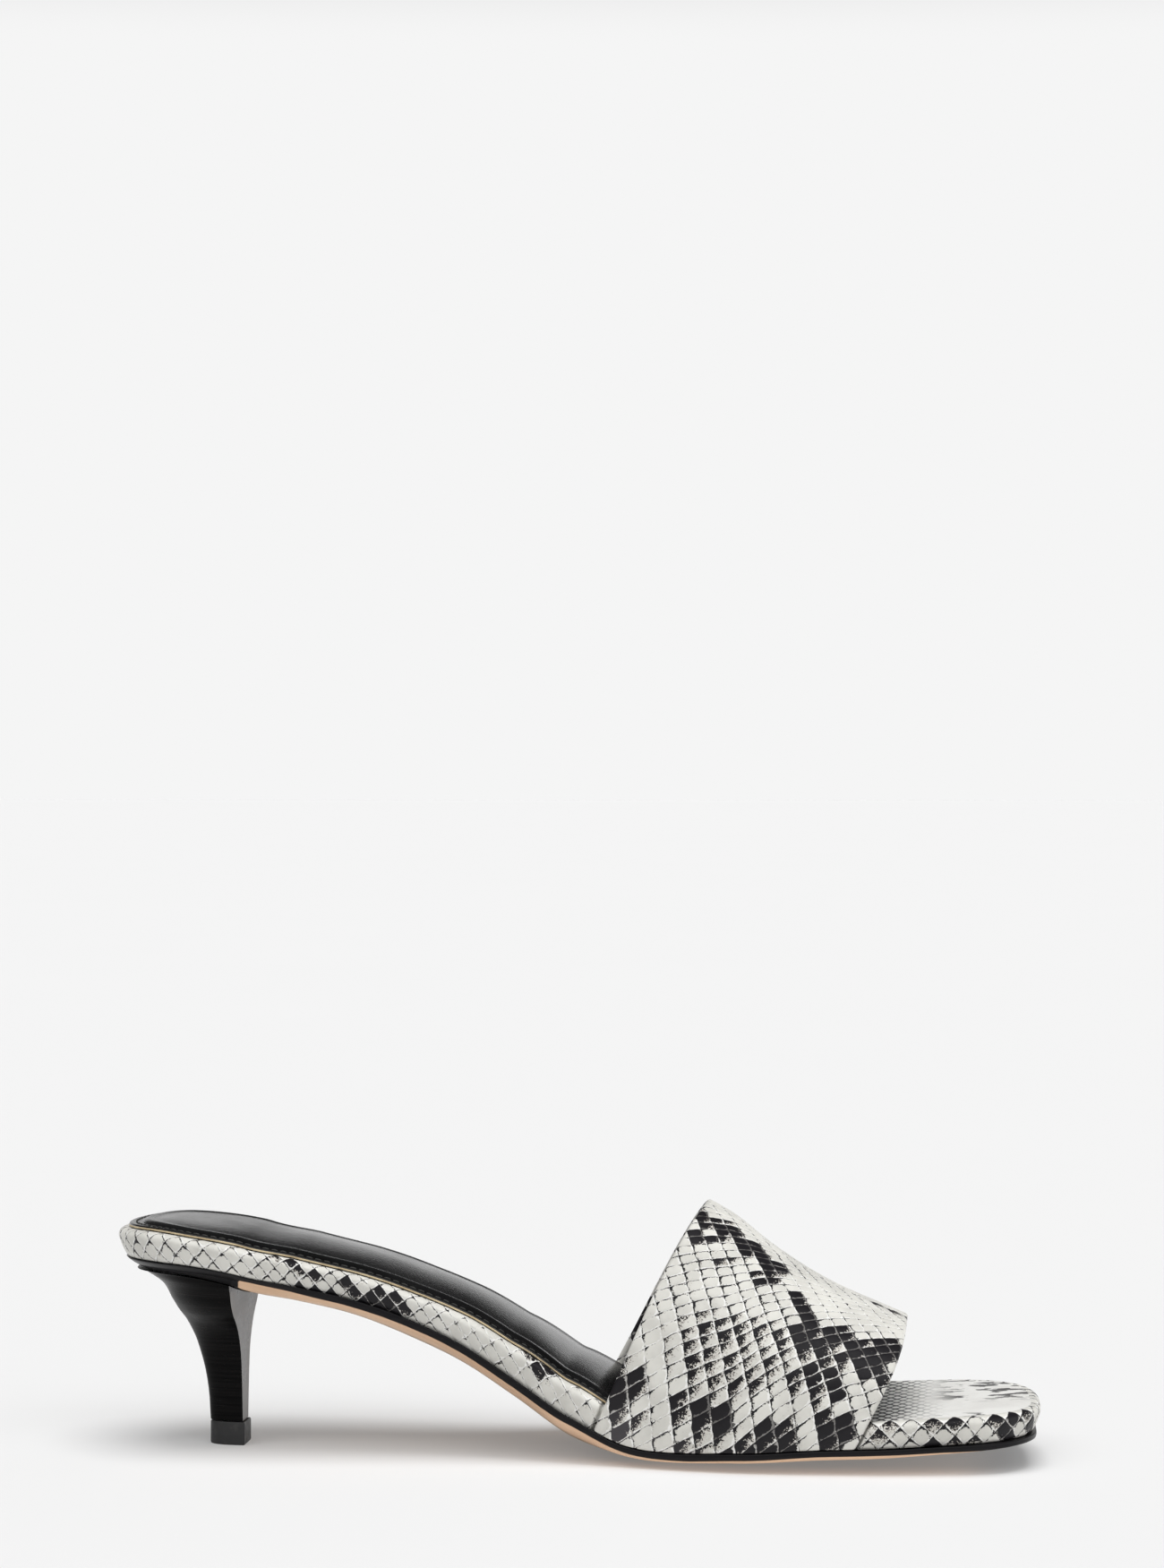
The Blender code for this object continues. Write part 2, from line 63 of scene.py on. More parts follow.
# Shares: along of shoe_length, rise of seat_height, spring of toe_spring, crown of sole_crown,
# inner and outer of ball_width, depth of footbed_depth
last_columns = ("along", "rise", "spring", "crown", "inner", "outer", "depth")
last_rows = (
    (0.000, 0.981, 0.00, 0.20, 0.371, 0.378, 1.08),
    (0.050, 0.971, 0.00, 0.37, 0.373, 0.378, 1.13),
    (0.100, 0.931, 0.00, 0.77, 0.374, 0.378, 1.03),
    (0.150, 0.850, 0.00, 1.29, 0.372, 0.374, 1.00),
    (0.208, 0.798, 0.00, 1.26, 0.362, 0.366, 0.97),
    (0.267, 0.725, 0.00, 1.40, 0.350, 0.356, 0.90),
    (0.325, 0.610, 0.00, 1.63, 0.338, 0.348, 0.90),
    (0.383, 0.471, 0.00, 1.69, 0.332, 0.347, 0.95),
    (0.442, 0.279, 0.00, 1.77, 0.340, 0.368, 1.02),
    (0.500, 0.081, 0.00, 1.94, 0.363, 0.412, 1.12),
    (0.558, 0.006, 0.00, 1.09, 0.402, 0.460, 1.10),
    (0.617, 0.000, 0.00, 0.77, 0.449, 0.492, 1.04),
    (0.683, 0.000, 0.00, 0.94, 0.489, 0.499, 1.00),
    (0.758, 0.000, 0.14, 0.97, 0.500, 0.485, 1.00),
    (0.833, 0.000, 0.33, 0.77, 0.494, 0.448, 1.02),
    (0.908, 0.000, 0.67, 0.40, 0.468, 0.418, 1.04),
    (0.967, 0.000, 0.90, 0.17, 0.440, 0.395, 1.04),
    (1.000, 0.000, 1.00, 0.11, 0.415, 0.380, 1.04),
)


def smooth(xs, ys, x):
    """Smooth curve through the rows of a table, level where the rows turn"""
    xs = np.asarray(xs, float)
    ys = np.asarray(ys, float)
    x = np.clip(x, xs[0], xs[-1])
    width = np.diff(xs)
    rise = np.diff(ys) / width
    share = width[1:] / (width[1:] + width[:-1])
    inner = np.where(rise[:-1] * rise[1:] > 0, rise[:-1] * share + rise[1:] * (1 - share), 0)
    slope = np.concatenate(([rise[0]], inner, [rise[-1]]))
    i = np.clip(np.searchsorted(xs, x, side="right") - 1, 0, len(xs) - 2)
    t = (x - xs[i]) / width[i]
    start = ys[i] * (1 + 2 * t) * (1 - t) ** 2 + slope[i] * width[i] * t * (1 - t) ** 2
    return start + ys[i + 1] * (3 - 2 * t) * t**2 - slope[i + 1] * width[i] * (1 - t) * t**2


def running(steps):
    """The running sum of steps, from 0"""
    return np.concatenate([[0], np.cumsum(steps)])


def blend(a, b, share):
    return a + (b - a) * share


def eased(share):
    share = np.clip(share, 0, 1)
    return share * share * (3 - 2 * share)


def share_at(columns, rows, name, x):
    """One column of a table of shares at a distance x from the back of the heel"""
    table = np.array(rows)
    return smooth(table[:, 0], table[:, columns.index(name)], x / shoe_length)


def last(name, x):
    return share_at(last_columns, last_rows, name, x)


def underside(x, q):
    """Height of the underside, with q from 0 at the middle to 1 at the edge"""
    tread = last("rise", x) * seat_height + last("spring", x) * toe_spring
    return np.maximum(0, tread + last("crown", x) * sole_crown * q**2 - tread_flat)


def upright(x):
    """Factor from a thickness to its upright height on the slope of the shank"""
    step = shoe_length / 200
    return np.hypot(1, (underside(x + step, 1) - underside(x - step, 1)) / (2 * step))


def sole_top(x, q):
    taper = np.clip((x - shoe_length) / toe_taper + 1, 0, 1)
    thickness = blend(sole_edge, toe_edge, taper) + sole_belly * (1 - np.minimum(q, 1) ** 2)
    return underside(x, q) + thickness * upright(x)


def setback(x, trim=0.0):
    """How far the sole's edge lies inside the plan outline, its lower corner trimmed over the heel"""
    return blend(seat_setback + trim, sole_setback, eased((x - seat_round) / seat_round))


def side_width(side, x):
    """Distance from the axis to the plan outline before the ends are rounded, side is -1 or +1"""
    return np.where(np.asarray(side) < 0, last("inner", x), last("outer", x)) * ball_width


def outline(side, fine, rear, front):
    """One side of the plan outline from heel to toe, with points where the band begins and ends"""
    toe_round, toe_power = toe_rounds[side]
    toe_start = shoe_length - toe_round
    turn = np.linspace(0, math.pi / 2, 5 * fine, endpoint=False)
    x = seat_round * (1 - np.cos(turn) ** (2 / seat_power))
    parts = [(x, side * side_width(side, x) * np.sin(turn) ** (2 / seat_power))]
    stretches = (
        (seat_round, rear - notch_ramp, 12 * fine),
        (rear - notch_ramp, rear, 2),
        (rear, front, 7 * fine),
        (front, front + notch_ramp, 2),
        (front + notch_ramp, toe_start, 3 * fine),
    )
    for start, end, steps in stretches:
        x = np.linspace(start, end, steps, endpoint=False)
        parts.append((x, side * side_width(side, x)))
    turn = np.linspace(0, math.pi / 2, 5 * fine + 1)
    x = toe_start + toe_round * np.sin(turn) ** (2 / toe_power)
    across = np.maximum(0, np.cos(turn)) ** (2 / toe_power)
    parts.append((x, blend(toe_tip_side, side * side_width(side, x), across)))
    return np.concatenate([np.stack(part, 1) for part in parts])


def plan(fine, bounds):
    """The closed outline, out along the inner side and back along the outer side, and its middles"""
    inner = outline(-1, fine, *bounds[-1])
    outer = outline(1, fine, *bounds[1])
    hold = np.clip(np.arange(len(inner)), 5 * fine, len(inner) - 1 - 5 * fine)
    middle = ((inner + outer) / 2)[hold]
    return np.concatenate([inner, outer[-2:0:-1]]), np.concatenate([middle, middle[-2:0:-1]])


def place(x, y, z):
    """Points measured from the back of the heel and the axis, in the shoe's own frame"""
    return np.stack([x - shoe_length / 2, y + 0 * x + side_shift, z + 0 * x], -1)


def ring(edges, middles, inset, share, height, cover=None):
    """One ring of a plan body: moved in from the outline, then by a share of the way to the middle"""
    inward = middles - edges
    full = np.linalg.norm(inward, axis=1)
    step = inset(edges[:, 0]) if callable(inset) else inset
    if cover is not None:
        step = step + cover
    start = edges + inward * (step / full)[:, None]
    point = start + (middles - start) * share
    q = np.linalg.norm(point - middles, axis=1) / full
    return place(point[:, 0], point[:, 1], height(point[:, 0], q))


def add_piece(name, data):
    """An object for a mesh, a light or the camera, put into the scene"""
    piece = bpy.data.objects.new(name, data)
    bpy.context.scene.collection.objects.link(piece)
    return piece


def mesh_piece(name, bm, mesh=None):
    """Object from a finished mesh, all its faces turned outward"""
    mesh = mesh or bpy.data.meshes.new(name)
    bmesh.ops.recalc_face_normals(bm, faces=bm.faces)
    bm.to_mesh(mesh)
    bm.free()
    return add_piece(name, mesh)


def skin_rings(bm, loops, looks=None):
    """Smooth faces between closed loops of points, each belt with its own material number"""
    count = len(loops[0])
    for k, (low, high) in enumerate(zip(loops, loops[1:])):
        for i in range(count):
            j = (i + 1) % count
            face = bm.faces.new((low[i], low[j], high[j], high[i]))
            face.smooth = True
            face.material_index = looks[k] if looks else 0


def ring_piece(name, rings, looks=None, values=None):
    """Closed mesh object from rings whose first and last lie on the centre line"""
    bm = bmesh.new()
    layers = {key: bm.verts.layers.float_vector.new(key) for key in (values or {})}
    loops = []
    for k, points in enumerate(rings):
        row = [bm.verts.new(p) for p in points]
        for key, layer in layers.items():
            for vert, value in zip(row, values[key][k]):
                vert[layer] = value
        loops.append(row)
    skin_rings(bm, loops, looks)
    bmesh.ops.remove_doubles(bm, verts=bm.verts, dist=1e-6)
    return mesh_piece(name, bm)


def dress(piece, slot, node, *materials):
    """Gives a piece its materials, its body and the solid that it stands for; the slot is not used"""
    for material in materials:
        piece.data.materials.append(material)
    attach(piece, "root")
    if node:
        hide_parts(node)


def feed(node, key, value):
    """Sets one socket of a node, or links it from another node's socket"""
    if isinstance(value, bpy.types.NodeSocket):
        node.id_data.links.new(value, node.inputs[key])
    else:
        node.inputs[key].default_value = value


def shader_node(kind, inputs=None, tree=None, **settings):
    """A shader node with its settings and its sockets, in the tree of the sockets linked to it"""
    if tree is None:
        tree = next(value.id_data for value in inputs.values() if isinstance(value, bpy.types.NodeSocket))
    made = tree.nodes.new("ShaderNode" + kind)
    for key, value in settings.items():
        setattr(made, key, value)
    for key, value in (inputs or {}).items():
        feed(made, key, value)
    return made


def reckon(operation, *values):
    """The output of one Math node"""
    return shader_node("Math", dict(enumerate(values)), operation=operation).outputs[0]


def times(first, second):
    return reckon("MULTIPLY", first, second)


def less(first, second):
    return reckon("SUBTRACT", first, second)


def scaled(value, factor, more):
    """A value times a factor and more"""
    return reckon("MULTIPLY_ADD", value, factor, more)


def between(value, low, high, to_low=0.0, to_high=1.0):
    """A smooth step of a value from one number to another"""
    sockets = {"Value": value, 1: low, 2: high, 3: to_low, 4: to_high}
    return shader_node("MapRange", sockets, interpolation_type="SMOOTHSTEP").outputs[0]


def mix_colour(share, first, second):
    """One colour over another by a share"""
    first, second = ((*value, 1) if isinstance(value, tuple) else value for value in (first, second))
    return shader_node("Mix", {0: share, 6: first, 7: second}, data_type="RGBA").outputs[2]


def parts_of(vector):
    """The three numbers of a vector"""
    return shader_node("SeparateXYZ", {0: vector}).outputs


def vector_math(operation, *values):
    """The outputs of one Vector Math node"""
    return shader_node("VectorMath", dict(enumerate(values)), operation=operation).outputs


def noise(where, scale, detail=3.0, stretch=None):
    """The value of a noise on a vector, stretched by three factors if they are given"""
    if stretch:
        where = vector_math("MULTIPLY", where, stretch)[0]
    sockets = {"Vector": where, "Scale": scale, "Detail": detail}
    return shader_node("TexNoise", sockets).outputs["Fac"]


def new_look(name):
    """A material, its Principled shader, and the object's own coordinates in metres"""
    material = bpy.data.materials.new(name)
    material.use_nodes = True
    nodes = material.node_tree.nodes
    return material, nodes["Principled BSDF"], nodes.new("ShaderNodeTexCoord").outputs["Object"]


def attribute(where, name):
    """A vector stored with the mesh"""
    return shader_node("Attribute", tree=where.id_data, attribute_name=name).outputs["Vector"]


def link(shader, **sockets):
    """Feeds the Principled shader's sockets, underscores stand for spaces"""
    for key, value in sockets.items():
        feed(shader, key.replace("_", " "), value)


def bump(height, strength, distance, normal=None):
    sockets = {"Height": height, "Strength": strength, "Distance": distance}
    if normal:
        sockets["Normal"] = normal
    return shader_node("Bump", sockets).outputs[0]


notch_ramp = 0.0006
no_notch = {-1: (0.127, 0.193), 1: (0.124, 0.186)}
sole_plan = plan(8, no_notch)
side_shift = -(sole_plan[0][:, 1].max() + sole_plan[0][:, 1].min()) / 2

# Edge of the board from its foot up: inset in metres, share of the edge's height
edge_rows = (
    (0.00040, 0.00),
    (0.00018, 0.08),
    (0.00006, 0.25),
    (0.00000, 0.45),
    (0.00000, 0.80),
    (0.00012, 1.00),
)
# Where the black ink ends above the natural lower bevel, as a share of the edge's height
ink_rows = (
    (0.00, -1.0),
    (0.141, -1.0),
    (0.148, 0.25),
    (0.16, 0.35),
    (0.24, 0.08),
    (0.47, 0.03),
    (0.55, 0.25),
    (0.63, 0.12),
    (0.75, 0.25),
    (0.83, 0.28),
    (0.90, 0.18),
    (1.00, -0.3),
)


def sole_wall(share):
    return lambda x, q: blend(underside(x, 1), sole_top(x, 1), share)


shares = (1, 0.85, 0.7, 0.55, 0.4, 0.28, 0.18, 0.1, 0.05, 0.02)
levels = [0] * len(shares) + [share for inset, share in edge_rows] + [1] * len(shares)
inwards = list(shares) + [0] * (len(edge_rows) + len(shares))
sole_rings = [ring(*sole_plan, lambda x: setback(x, seat_trim), share, underside) for share in shares]
for inset, share in edge_rows:
    edge = lambda x, i=inset, s=share: setback(x, seat_trim * (1 - s)) + i
    sole_rings.append(ring(*sole_plan, edge, 0, sole_wall(share)))
sole_rings += [ring(*sole_plan, setback, share, sole_top) for share in reversed(shares)]
sole_marks = []
for points, level, inward in zip(sole_rings, levels, inwards):
    limit = np.interp(points[:, 0] / shoe_length + 0.5, *zip(*ink_rows))
    sole_marks.append(np.stack([level - limit, 0 * limit + inward, 0 * limit], 1))
outsole = ring_piece("outsole_board", sole_rings, values={"marks": sole_marks})

sole_leather, shader, where = new_look("tan_sole_leather")
above, inward, _ = parts_of(attribute(where, "marks"))
grain = noise(where, 900, 4)
cloud = noise(where, 60, 3)
rubbed = noise(where, 240, 5, (1, 0.15, 1))
drag = noise(where, 220, 3, (0.2, 0.2, 4))
tan = mix_colour(between(cloud, 0.35, 0.7), (0.78, 0.54, 0.37), (0.72, 0.49, 0.33))
tan = mix_colour(between(rubbed, 0.62, 0.8, 0, 0.35), tan, (0.44, 0.29, 0.18))
black = mix_colour(drag, (0.006, 0.006, 0.007), (0.016, 0.015, 0.016))
inked = between(scaled(drag, 0.12, above), 0.03, 0.10)
shaded = between(above, -0.10, 0.05)
tan = mix_colour(times(shaded, 0.6), tan, (0.26, 0.15, 0.09))
under = between(inward, 0.15, 0.45)
tan = mix_colour(times(under, 0.8), tan, (0.25, 0.19, 0.14))
link(shader, Base_Color=mix_colour(inked, tan, black))
link(shader, Roughness=between(inked, 0.0, 1.0, 0.5, 0.30))
link(shader, Specular_IOR_Level=0.1)
link(shader, Normal=bump(reckon("ADD", grain, drag), 0.25, 0.0001))
dress(outsole, "tan_sole_leather", "outsole", sole_leather)

# Heel
# A slim moulded heel with a stacked finish: fine layers show as faint lines across near black.
# Its flat breast faces the toe and it sits glued and screwed under the seat.
heel_tip_width = 0.0082
heel_tip_depth = 0.0092
breast_lip = 0.0035
heel_inset = 0.0014
lift_height = 0.0060
# Shares of the seat's height, of the way back from the tip and of the way out from the tip
heel_rows = (
    (0.130, 0.000, 0.000),
    (0.290, 0.026, 0.035),
    (0.400, 0.067, 0.070),
    (0.515, 0.139, 0.135),
    (0.575, 0.185, 0.210),
    (0.635, 0.247, 0.320),
    (0.690, 0.314, 0.470),
    (0.745, 0.402, 0.660),
    (0.805, 0.483, 0.800),
    (0.870, 0.606, 0.900),
    (0.915, 0.785, 0.970),
    (0.965, 0.906, 1.000),
    (1.040, 1.000, 1.000),
)


def heel_section(back, half, lip, breast):
    """D shaped section: round at the back, nearly flat at the breast"""
    turn = np.linspace(-math.pi / 2, math.pi / 2, 41)
    x = breast - (breast - back) * np.maximum(0, np.cos(turn)) ** (2 / seat_power)
    y = half * np.sign(turn) * np.abs(np.sin(turn)) ** (2 / seat_power)
    share = np.linspace(1, -1, 15)[1:-1]
    x = np.concatenate([x, breast + lip * (1 - share**2)])
    y = np.concatenate([y, share * half])
    return x, y + (side_width(1, seat_round) - side_width(-1, seat_round)) / 2


def stack_piece(name, rings):
    """Closed mesh object from level rings, capped at both ends"""
    bm = bmesh.new()
    loops = [[bm.verts.new(p) for p in points] for points in rings]
    skin_rings(bm, loops)
    bm.faces.new(loops[0])
    bm.faces.new(loops[-1])
    piece = mesh_piece(name, bm)
    piece.data.set_sharp_from_angle(angle=math.radians(48))
    return piece


heel_heights, heel_backs, heel_widths = zip(*heel_rows)
tip_back = seat_round - heel_tip_depth
heel_back = seat_setback + heel_inset + gap
seat_back = seat_setback + seat_trim + gap
side_half = float((side_width(-1, seat_round) + side_width(1, seat_round)) / 2)
heel_rings = []
for height in np.linspace(0.13, 1.0, 70):
    back = smooth(heel_heights, heel_backs, height)
    wide = smooth(heel_heights, heel_widths, height)
    half = min(blend(heel_tip_width / 2, side_half - heel_back, wide), side_half - seat_back)
    lip = breast_lip * max(0, (height - 0.8) / 0.2) ** 1.5
    x, y = heel_section(max(blend(tip_back, heel_back, back), seat_back), half, lip, seat_round)
    q = np.abs(y) / side_width(np.sign(y), np.maximum(x, seat_round))
    seat = underside(x, np.minimum(1, q)) - gap
    level = max(height * seat_height, lift_height + gap)
    heel_rings.append(place(x, y, np.minimum(blend(level, seat, eased((height - 0.8) / 0.2)), seat)))
heel = stack_piece("stacked_heel", heel_rings)

black_stack, shader, where = new_look("black_heel_stack")
layers = noise(where, 60, 4, (0.25, 0.25, 22))
layers_fine = noise(where, 160, 3, (0.3, 0.3, 24))
haze = noise(where, 90, 3)
stack = mix_colour(between(layers, 0.38, 0.66), (0.001, 0.0009, 0.001), (0.0045, 0.004, 0.004))
stack = mix_colour(between(layers_fine, 0.60, 0.72, 0, 0.4), stack, (0.022, 0.020, 0.020))
facing = parts_of(where.node.outputs["Normal"])
# The breast, which faces the toe, is painted pale grey over the black: a painted reflection, patchy where
# the haze noise is low.
breast = between(facing[0], 0.60, 0.90)
breast_painted_reflection = times(breast, between(haze, 0.25, 0.65, 0.6, 1.0))
stack = mix_colour(breast_painted_reflection, stack, (0.22, 0.215, 0.215))
link(shader, Base_Color=stack, Roughness=between(haze, 0.3, 0.7, 0.24, 0.36), Specular_IOR_Level=0.06)
ridges = bump(layers_fine, 0.35, 0.0001)
link(shader, Normal=bump(layers, 0.3, 0.0002, ridges))
dress(heel, "black_heel_stack", "heel", black_stack)

# Top lift
# The hard rubber tip pinned under the heel, a little proud of it, its rim worn round.
lift_proud = 0.0006
lift_rows = ((0.00045, 0.0), (0.00012, 0.00012), (0.0, 0.00045), (0.0, 0.0056), (0.0002, 0.0060))
lift_rings = []
for inset, level in lift_rows:
    half = heel_tip_width / 2 + lift_proud - inset
    x, y = heel_section(tip_back + inset, half, 0, seat_round + lift_proud - inset)
    lift_rings.append(place(x, y, level))
lift = stack_piece("rubber_tip", lift_rings)

black_rubber, shader, where = new_look("black_rubber")
pits = noise(where, 1500, 3)
dust = noise(where, 300, 4)
rubber = mix_colour(between(dust, 0.5, 0.8, 0, 0.7), (0.020, 0.020, 0.021), (0.060, 0.058, 0.056))
link(shader, Base_Color=rubber, Roughness=between(dust, 0.3, 0.7, 0.5, 0.68))
link(shader, Normal=bump(pits, 0.3, 0.0001))
dress(lift, "black_rubber", "top_lift", black_rubber)

# Footbed
# Board and foam wrapped in snake embossed leather. The wrap bulges at the side and turns over the top,
# where it shows again in front of the band as the platform for the toes.
footbed_depth = 0.0066
footbed_round = 0.0026
sock_inset = 0.0028
band_wall = 0.0018
band_setback = 0.0004
band_foot = 0.16
instep_height = 0.0657
crest_columns = ("along", "height", "side", "inner_power", "outer_power")
crest_rows = (
    (0.480, 1.320, -0.070, 2.00, 1.85),
    (0.560, 1.180, -0.080, 2.00, 1.85),
    (0.644, 1.006, -0.090, 2.00, 1.85),
    (0.673, 0.945, -0.095, 2.02, 1.88),
    (0.711, 0.836, -0.102, 2.06, 1.92),
    (0.750, 0.739, -0.108, 2.12, 1.98),
    (0.788, 0.663, -0.112, 2.18, 2.04),
    (0.826, 0.603, -0.115, 2.24, 2.10),
    (0.860, 0.550, -0.118, 2.30, 2.15),
    (0.900, 0.500, -0.120, 2.30, 2.15),
)
# Edges of the band: places of its inner foot, crest and outer foot along the shoe, bow of the edge
band_rear = (0.5295, 0.6455, 0.515, 0.95)
band_front = (0.807, 0.8595, 0.775, 1.5)
# Side of the wrap from its foot up: inset as a share of footbed_round, share of its height
wall_rows = (
    (0.95, 0.00),
    (0.72, 0.10),
    (0.42, 0.32),
    (0.20, 0.52),
    (0.03, 0.74),
    (0.14, 0.88),
    (0.48, 0.97),
    (0.85, 1.00),
)


def footbed_foot(x, q):
    return sole_top(x, q) + gap


def footbed_top(x, q=1):
    return footbed_foot(x, 1) + last("depth", x) * footbed_depth * upright(x)


def crest(name, x):
    return share_at(crest_columns, crest_rows, name, x)


def arch_point(x, turn):
    """Outer face of the band on the section at x, with turn from 0 at the inner foot to 1 at the outer"""
    x, turn = np.broadcast_arrays(np.asarray(x, float), np.asarray(turn, float))
    side = np.where(turn < 0.5, -1, 1)
    foot = footbed_foot(x, 1)
    shoulder = footbed_top(x)
    flat = side * (side_width(side, x) - band_setback)
    from_foot = 2 * np.minimum(turn, 1 - turn)
    share = np.clip(from_foot / band_foot, 0, 1)
    low_y = flat - side * (sole_setback - band_setback) * (1 - share) ** 2
    angle = math.pi / 2 * np.clip((from_foot - band_foot) / (1 - band_foot), 0, 1)
    power = np.where(side < 0, crest("inner_power", x), crest("outer_power", x))
    across = np.maximum(0, np.cos(angle)) ** (2 / power)
    up = np.sin(angle) ** (2 / power)
    y = np.where(share < 1, low_y, blend(crest("side", x) * ball_width, flat, across))
    top = crest("height", x) * instep_height
    z = np.where(share < 1, blend(foot, shoulder, share), blend(shoulder, top, up))
    return x, y, z


def band_edge(row, turn):
    """Distance from the heel of one edge of the band, which leans forward as it climbs to the crest"""
    inner_foot, crest_at, outer_foot, bow = row
    turn = np.asarray(turn, float)
    foot_at = blend(inner_foot, outer_foot, (1 - np.cos(math.pi * turn)) / 2)
    x = foot_at * shoe_length
    for _ in range(30):
        foot = footbed_foot(x, 1)
        share = (arch_point(x, turn)[2] - foot) / (crest("height", x) * instep_height - foot)
        lean = 1 - (1 - np.clip(share, 0, 1)) ** bow
        x = blend(foot_at, crest_at, lean) * shoe_length
    return x


def notch(side, up):
    """Where the band covers the footbed at a share up of its wall"""
    turn = up * band_foot / 2 if side < 0 else 1 - up * band_foot / 2
    return float(band_edge(band_rear, turn)) - gap, float(band_edge(band_front, turn)) + gap


def covered_ring(inset, share, height, up, fine=36):
    """A ring of the footbed, stepped in where the band covers it, with its place round the shoe"""
    bounds = {side: notch(side, up) for side in (-1, 1)}
    edges, middles = plan(fine, bounds)
    side = np.where(edges[:, 1] < middles[:, 1], -1, 1)
    rear = np.where(side < 0, bounds[-1][0], bounds[1][0])
    front = np.where(side < 0, bounds[-1][1], bounds[1][1])
    inside = np.clip(np.minimum(edges[:, 0] - rear, front - edges[:, 0]) / notch_ramp + 1, 0, 1)
    cover = (band_setback + band_wall + gap) * inside
    half = len(edges) // 2
    step = np.linalg.norm(np.diff(edges, axis=0, append=edges[:1]), axis=1)
    inner = running(step[:half])
    outer = running(step[half:][::-1])
    whole = (inner[-1] + outer[-1]) / 2
    round_place = np.concatenate([inner * whole / inner[-1], (outer * whole / outer[-1])[-2:0:-1]])
    return ring(edges, middles, inset, share, height, cover), round_place, 1 - inside


relief_depth = 0.00012
# Distance round the shoe from the back of the heel, length and height of a scale there, in metres
rand_rows = (
    (0.000, 0.0056, 0.0058),
    (0.045, 0.0054, 0.0056),
    (0.068, 0.0042, 0.0046),
    (0.095, 0.0044, 0.0048),
    (0.140, 0.0052, 0.0056),
    (0.180, 0.0056, 0.0060),
    (0.280, 0.0056, 0.0060),
)
rand_places, rand_lengths, rand_heights = zip(*rand_rows)
rand_at = np.linspace(0, rand_places[-1], 300)
rand_step = 1 / smooth(rand_places, rand_lengths, rand_at)
rand_count = running((rand_step[1:] + rand_step[:-1]) / 2 * np.diff(rand_at))


def rand_scales(round_place, down, bare):
    """Place on the scales of the wrap: along it, down it, and 0 where the band covers it"""
    height = smooth(rand_places, rand_heights, round_place)
    return np.stack([np.interp(round_place, rand_at, rand_count), down / height, bare], 1)


def relief(along, across):
    """Height of the embossing, 0 in the furrows and 1 on top of a scale"""
    u = along + across
    v = along - across
    u = np.abs(u - np.floor(u) - 0.5) * 2
    v = np.abs(v - np.floor(v) - 0.5) * 2
    round_square = (u**4 + v**4) ** 0.25
    return 1 - eased((round_square - 0.70) / 0.32)


wall_t = np.linspace(0, 1, 27)
wall_place = np.linspace(0, 1, len(wall_rows))
wall_inset, wall_up = (smooth(wall_place, column, wall_t) for column in zip(*wall_rows))
wall_inset = wall_inset * footbed_round
wall_up = np.clip(wall_up, 0, 1)
top_shares = (0.0, 0.015, 0.04, 0.08, 0.14, 0.22, 0.32, 0.44, 0.58, 0.74, 0.88, 1.0)
footbed_parts = []
down = 0.0


def lay_ring(look, embossed, *ring_at):
    """Adds one ring to the footbed, with its material and its place on the scales"""
    points, round_place, bare = covered_ring(*ring_at)
    footbed_parts.append((points, look, rand_scales(round_place, down, embossed * bare)))


for share in (1, 0.5, 0.12):
    lay_ring(0, 0, wall_inset[0], share, footbed_foot, 0)
for k, (inset, share) in enumerate(zip(wall_inset, wall_up)):
    if k:
        down += math.hypot(footbed_depth * (share - wall_up[k - 1]), inset - wall_inset[k - 1])
    height = lambda x, q, s=share: blend(footbed_foot(x, q), footbed_top(x), s)
    lay_ring(0, 1, inset, 0, height, share)
for share in top_shares:
    lay_ring(1, 1, sock_inset, share, footbed_top, 1)
footbed_rings, footbed_looks, footbed_scales = zip(*footbed_parts)
footbed = ring_piece("wrapped_footbed", footbed_rings, footbed_looks, {"scales": footbed_scales})

mesh = footbed.data
sources = ((mesh.vertices, "co"), (mesh.vertices, "normal"), (mesh.attributes["scales"].data, "vector"))
points, normals, scales = (np.empty((len(mesh.vertices), 3)) for source in sources)
for (source, key), values in zip(sources, (points, normals, scales)):
    source.foreach_get(key, values.ravel())
upright_wall = eased((0.9 - np.abs(normals[:, 2])) / 0.3) * scales[:, 2]
sunk = (relief(scales[:, 0], scales[:, 1]) - 1) * relief_depth * upright_wall
mesh.vertices.foreach_set("co", (points + normals * sunk[:, None]).ravel())
mesh.update()

# Scales of the embossed leather. Reach is 0 in the middle of a scale and 1 at its rounded edge, Crown is
# its height, Lead runs over it from one corner, Cell is the scale's own place and Chance its number.
snake_scales = bpy.data.node_groups.new("snake_scales", "ShaderNodeTree")
group_outputs = ("Reach", "Crown", "Lead", "Cell", "Chance")
for name in ("Scales", "Wobble", "Corner", *group_outputs):
    side = "OUTPUT" if name in group_outputs else "INPUT"
    kind = "NodeSocketVector" if name in ("Scales", "Cell") else "NodeSocketFloat"
    snake_scales.interface.new_socket(name, in_out=side, socket_type=kind)
tree = snake_scales
given = tree.nodes.new("NodeGroupInput").outputs
split = parts_of(given["Scales"])
sockets = {"Vector": given["Scales"], "Scale": 1.6, "Detail": 3.0}
shake = parts_of(shader_node("TexNoise", sockets).outputs["Color"])
along = scaled(less(shake[0], 0.5), given["Wobble"], split[0])
across = scaled(less(shake[1], 0.5), given["Wobble"], split[1])
u = reckon("ADD", along, across)
v = less(along, across)
cell_u, cell_v = (reckon("FLOOR", value) for value in (u, v))
in_u, in_v = less(u, cell_u), less(v, cell_v)
halves = [reckon("ABSOLUTE", scaled(inside, 2.0, -1.0)) for inside in (in_u, in_v)]
powers = [reckon("POWER", half, given["Corner"]) for half in halves]
far = reckon("POWER", reckon("ADD", *powers), reckon("DIVIDE", 1.0, given["Corner"]))
crown = between(far, 0.66, 1.04, 1.0, 0.0)
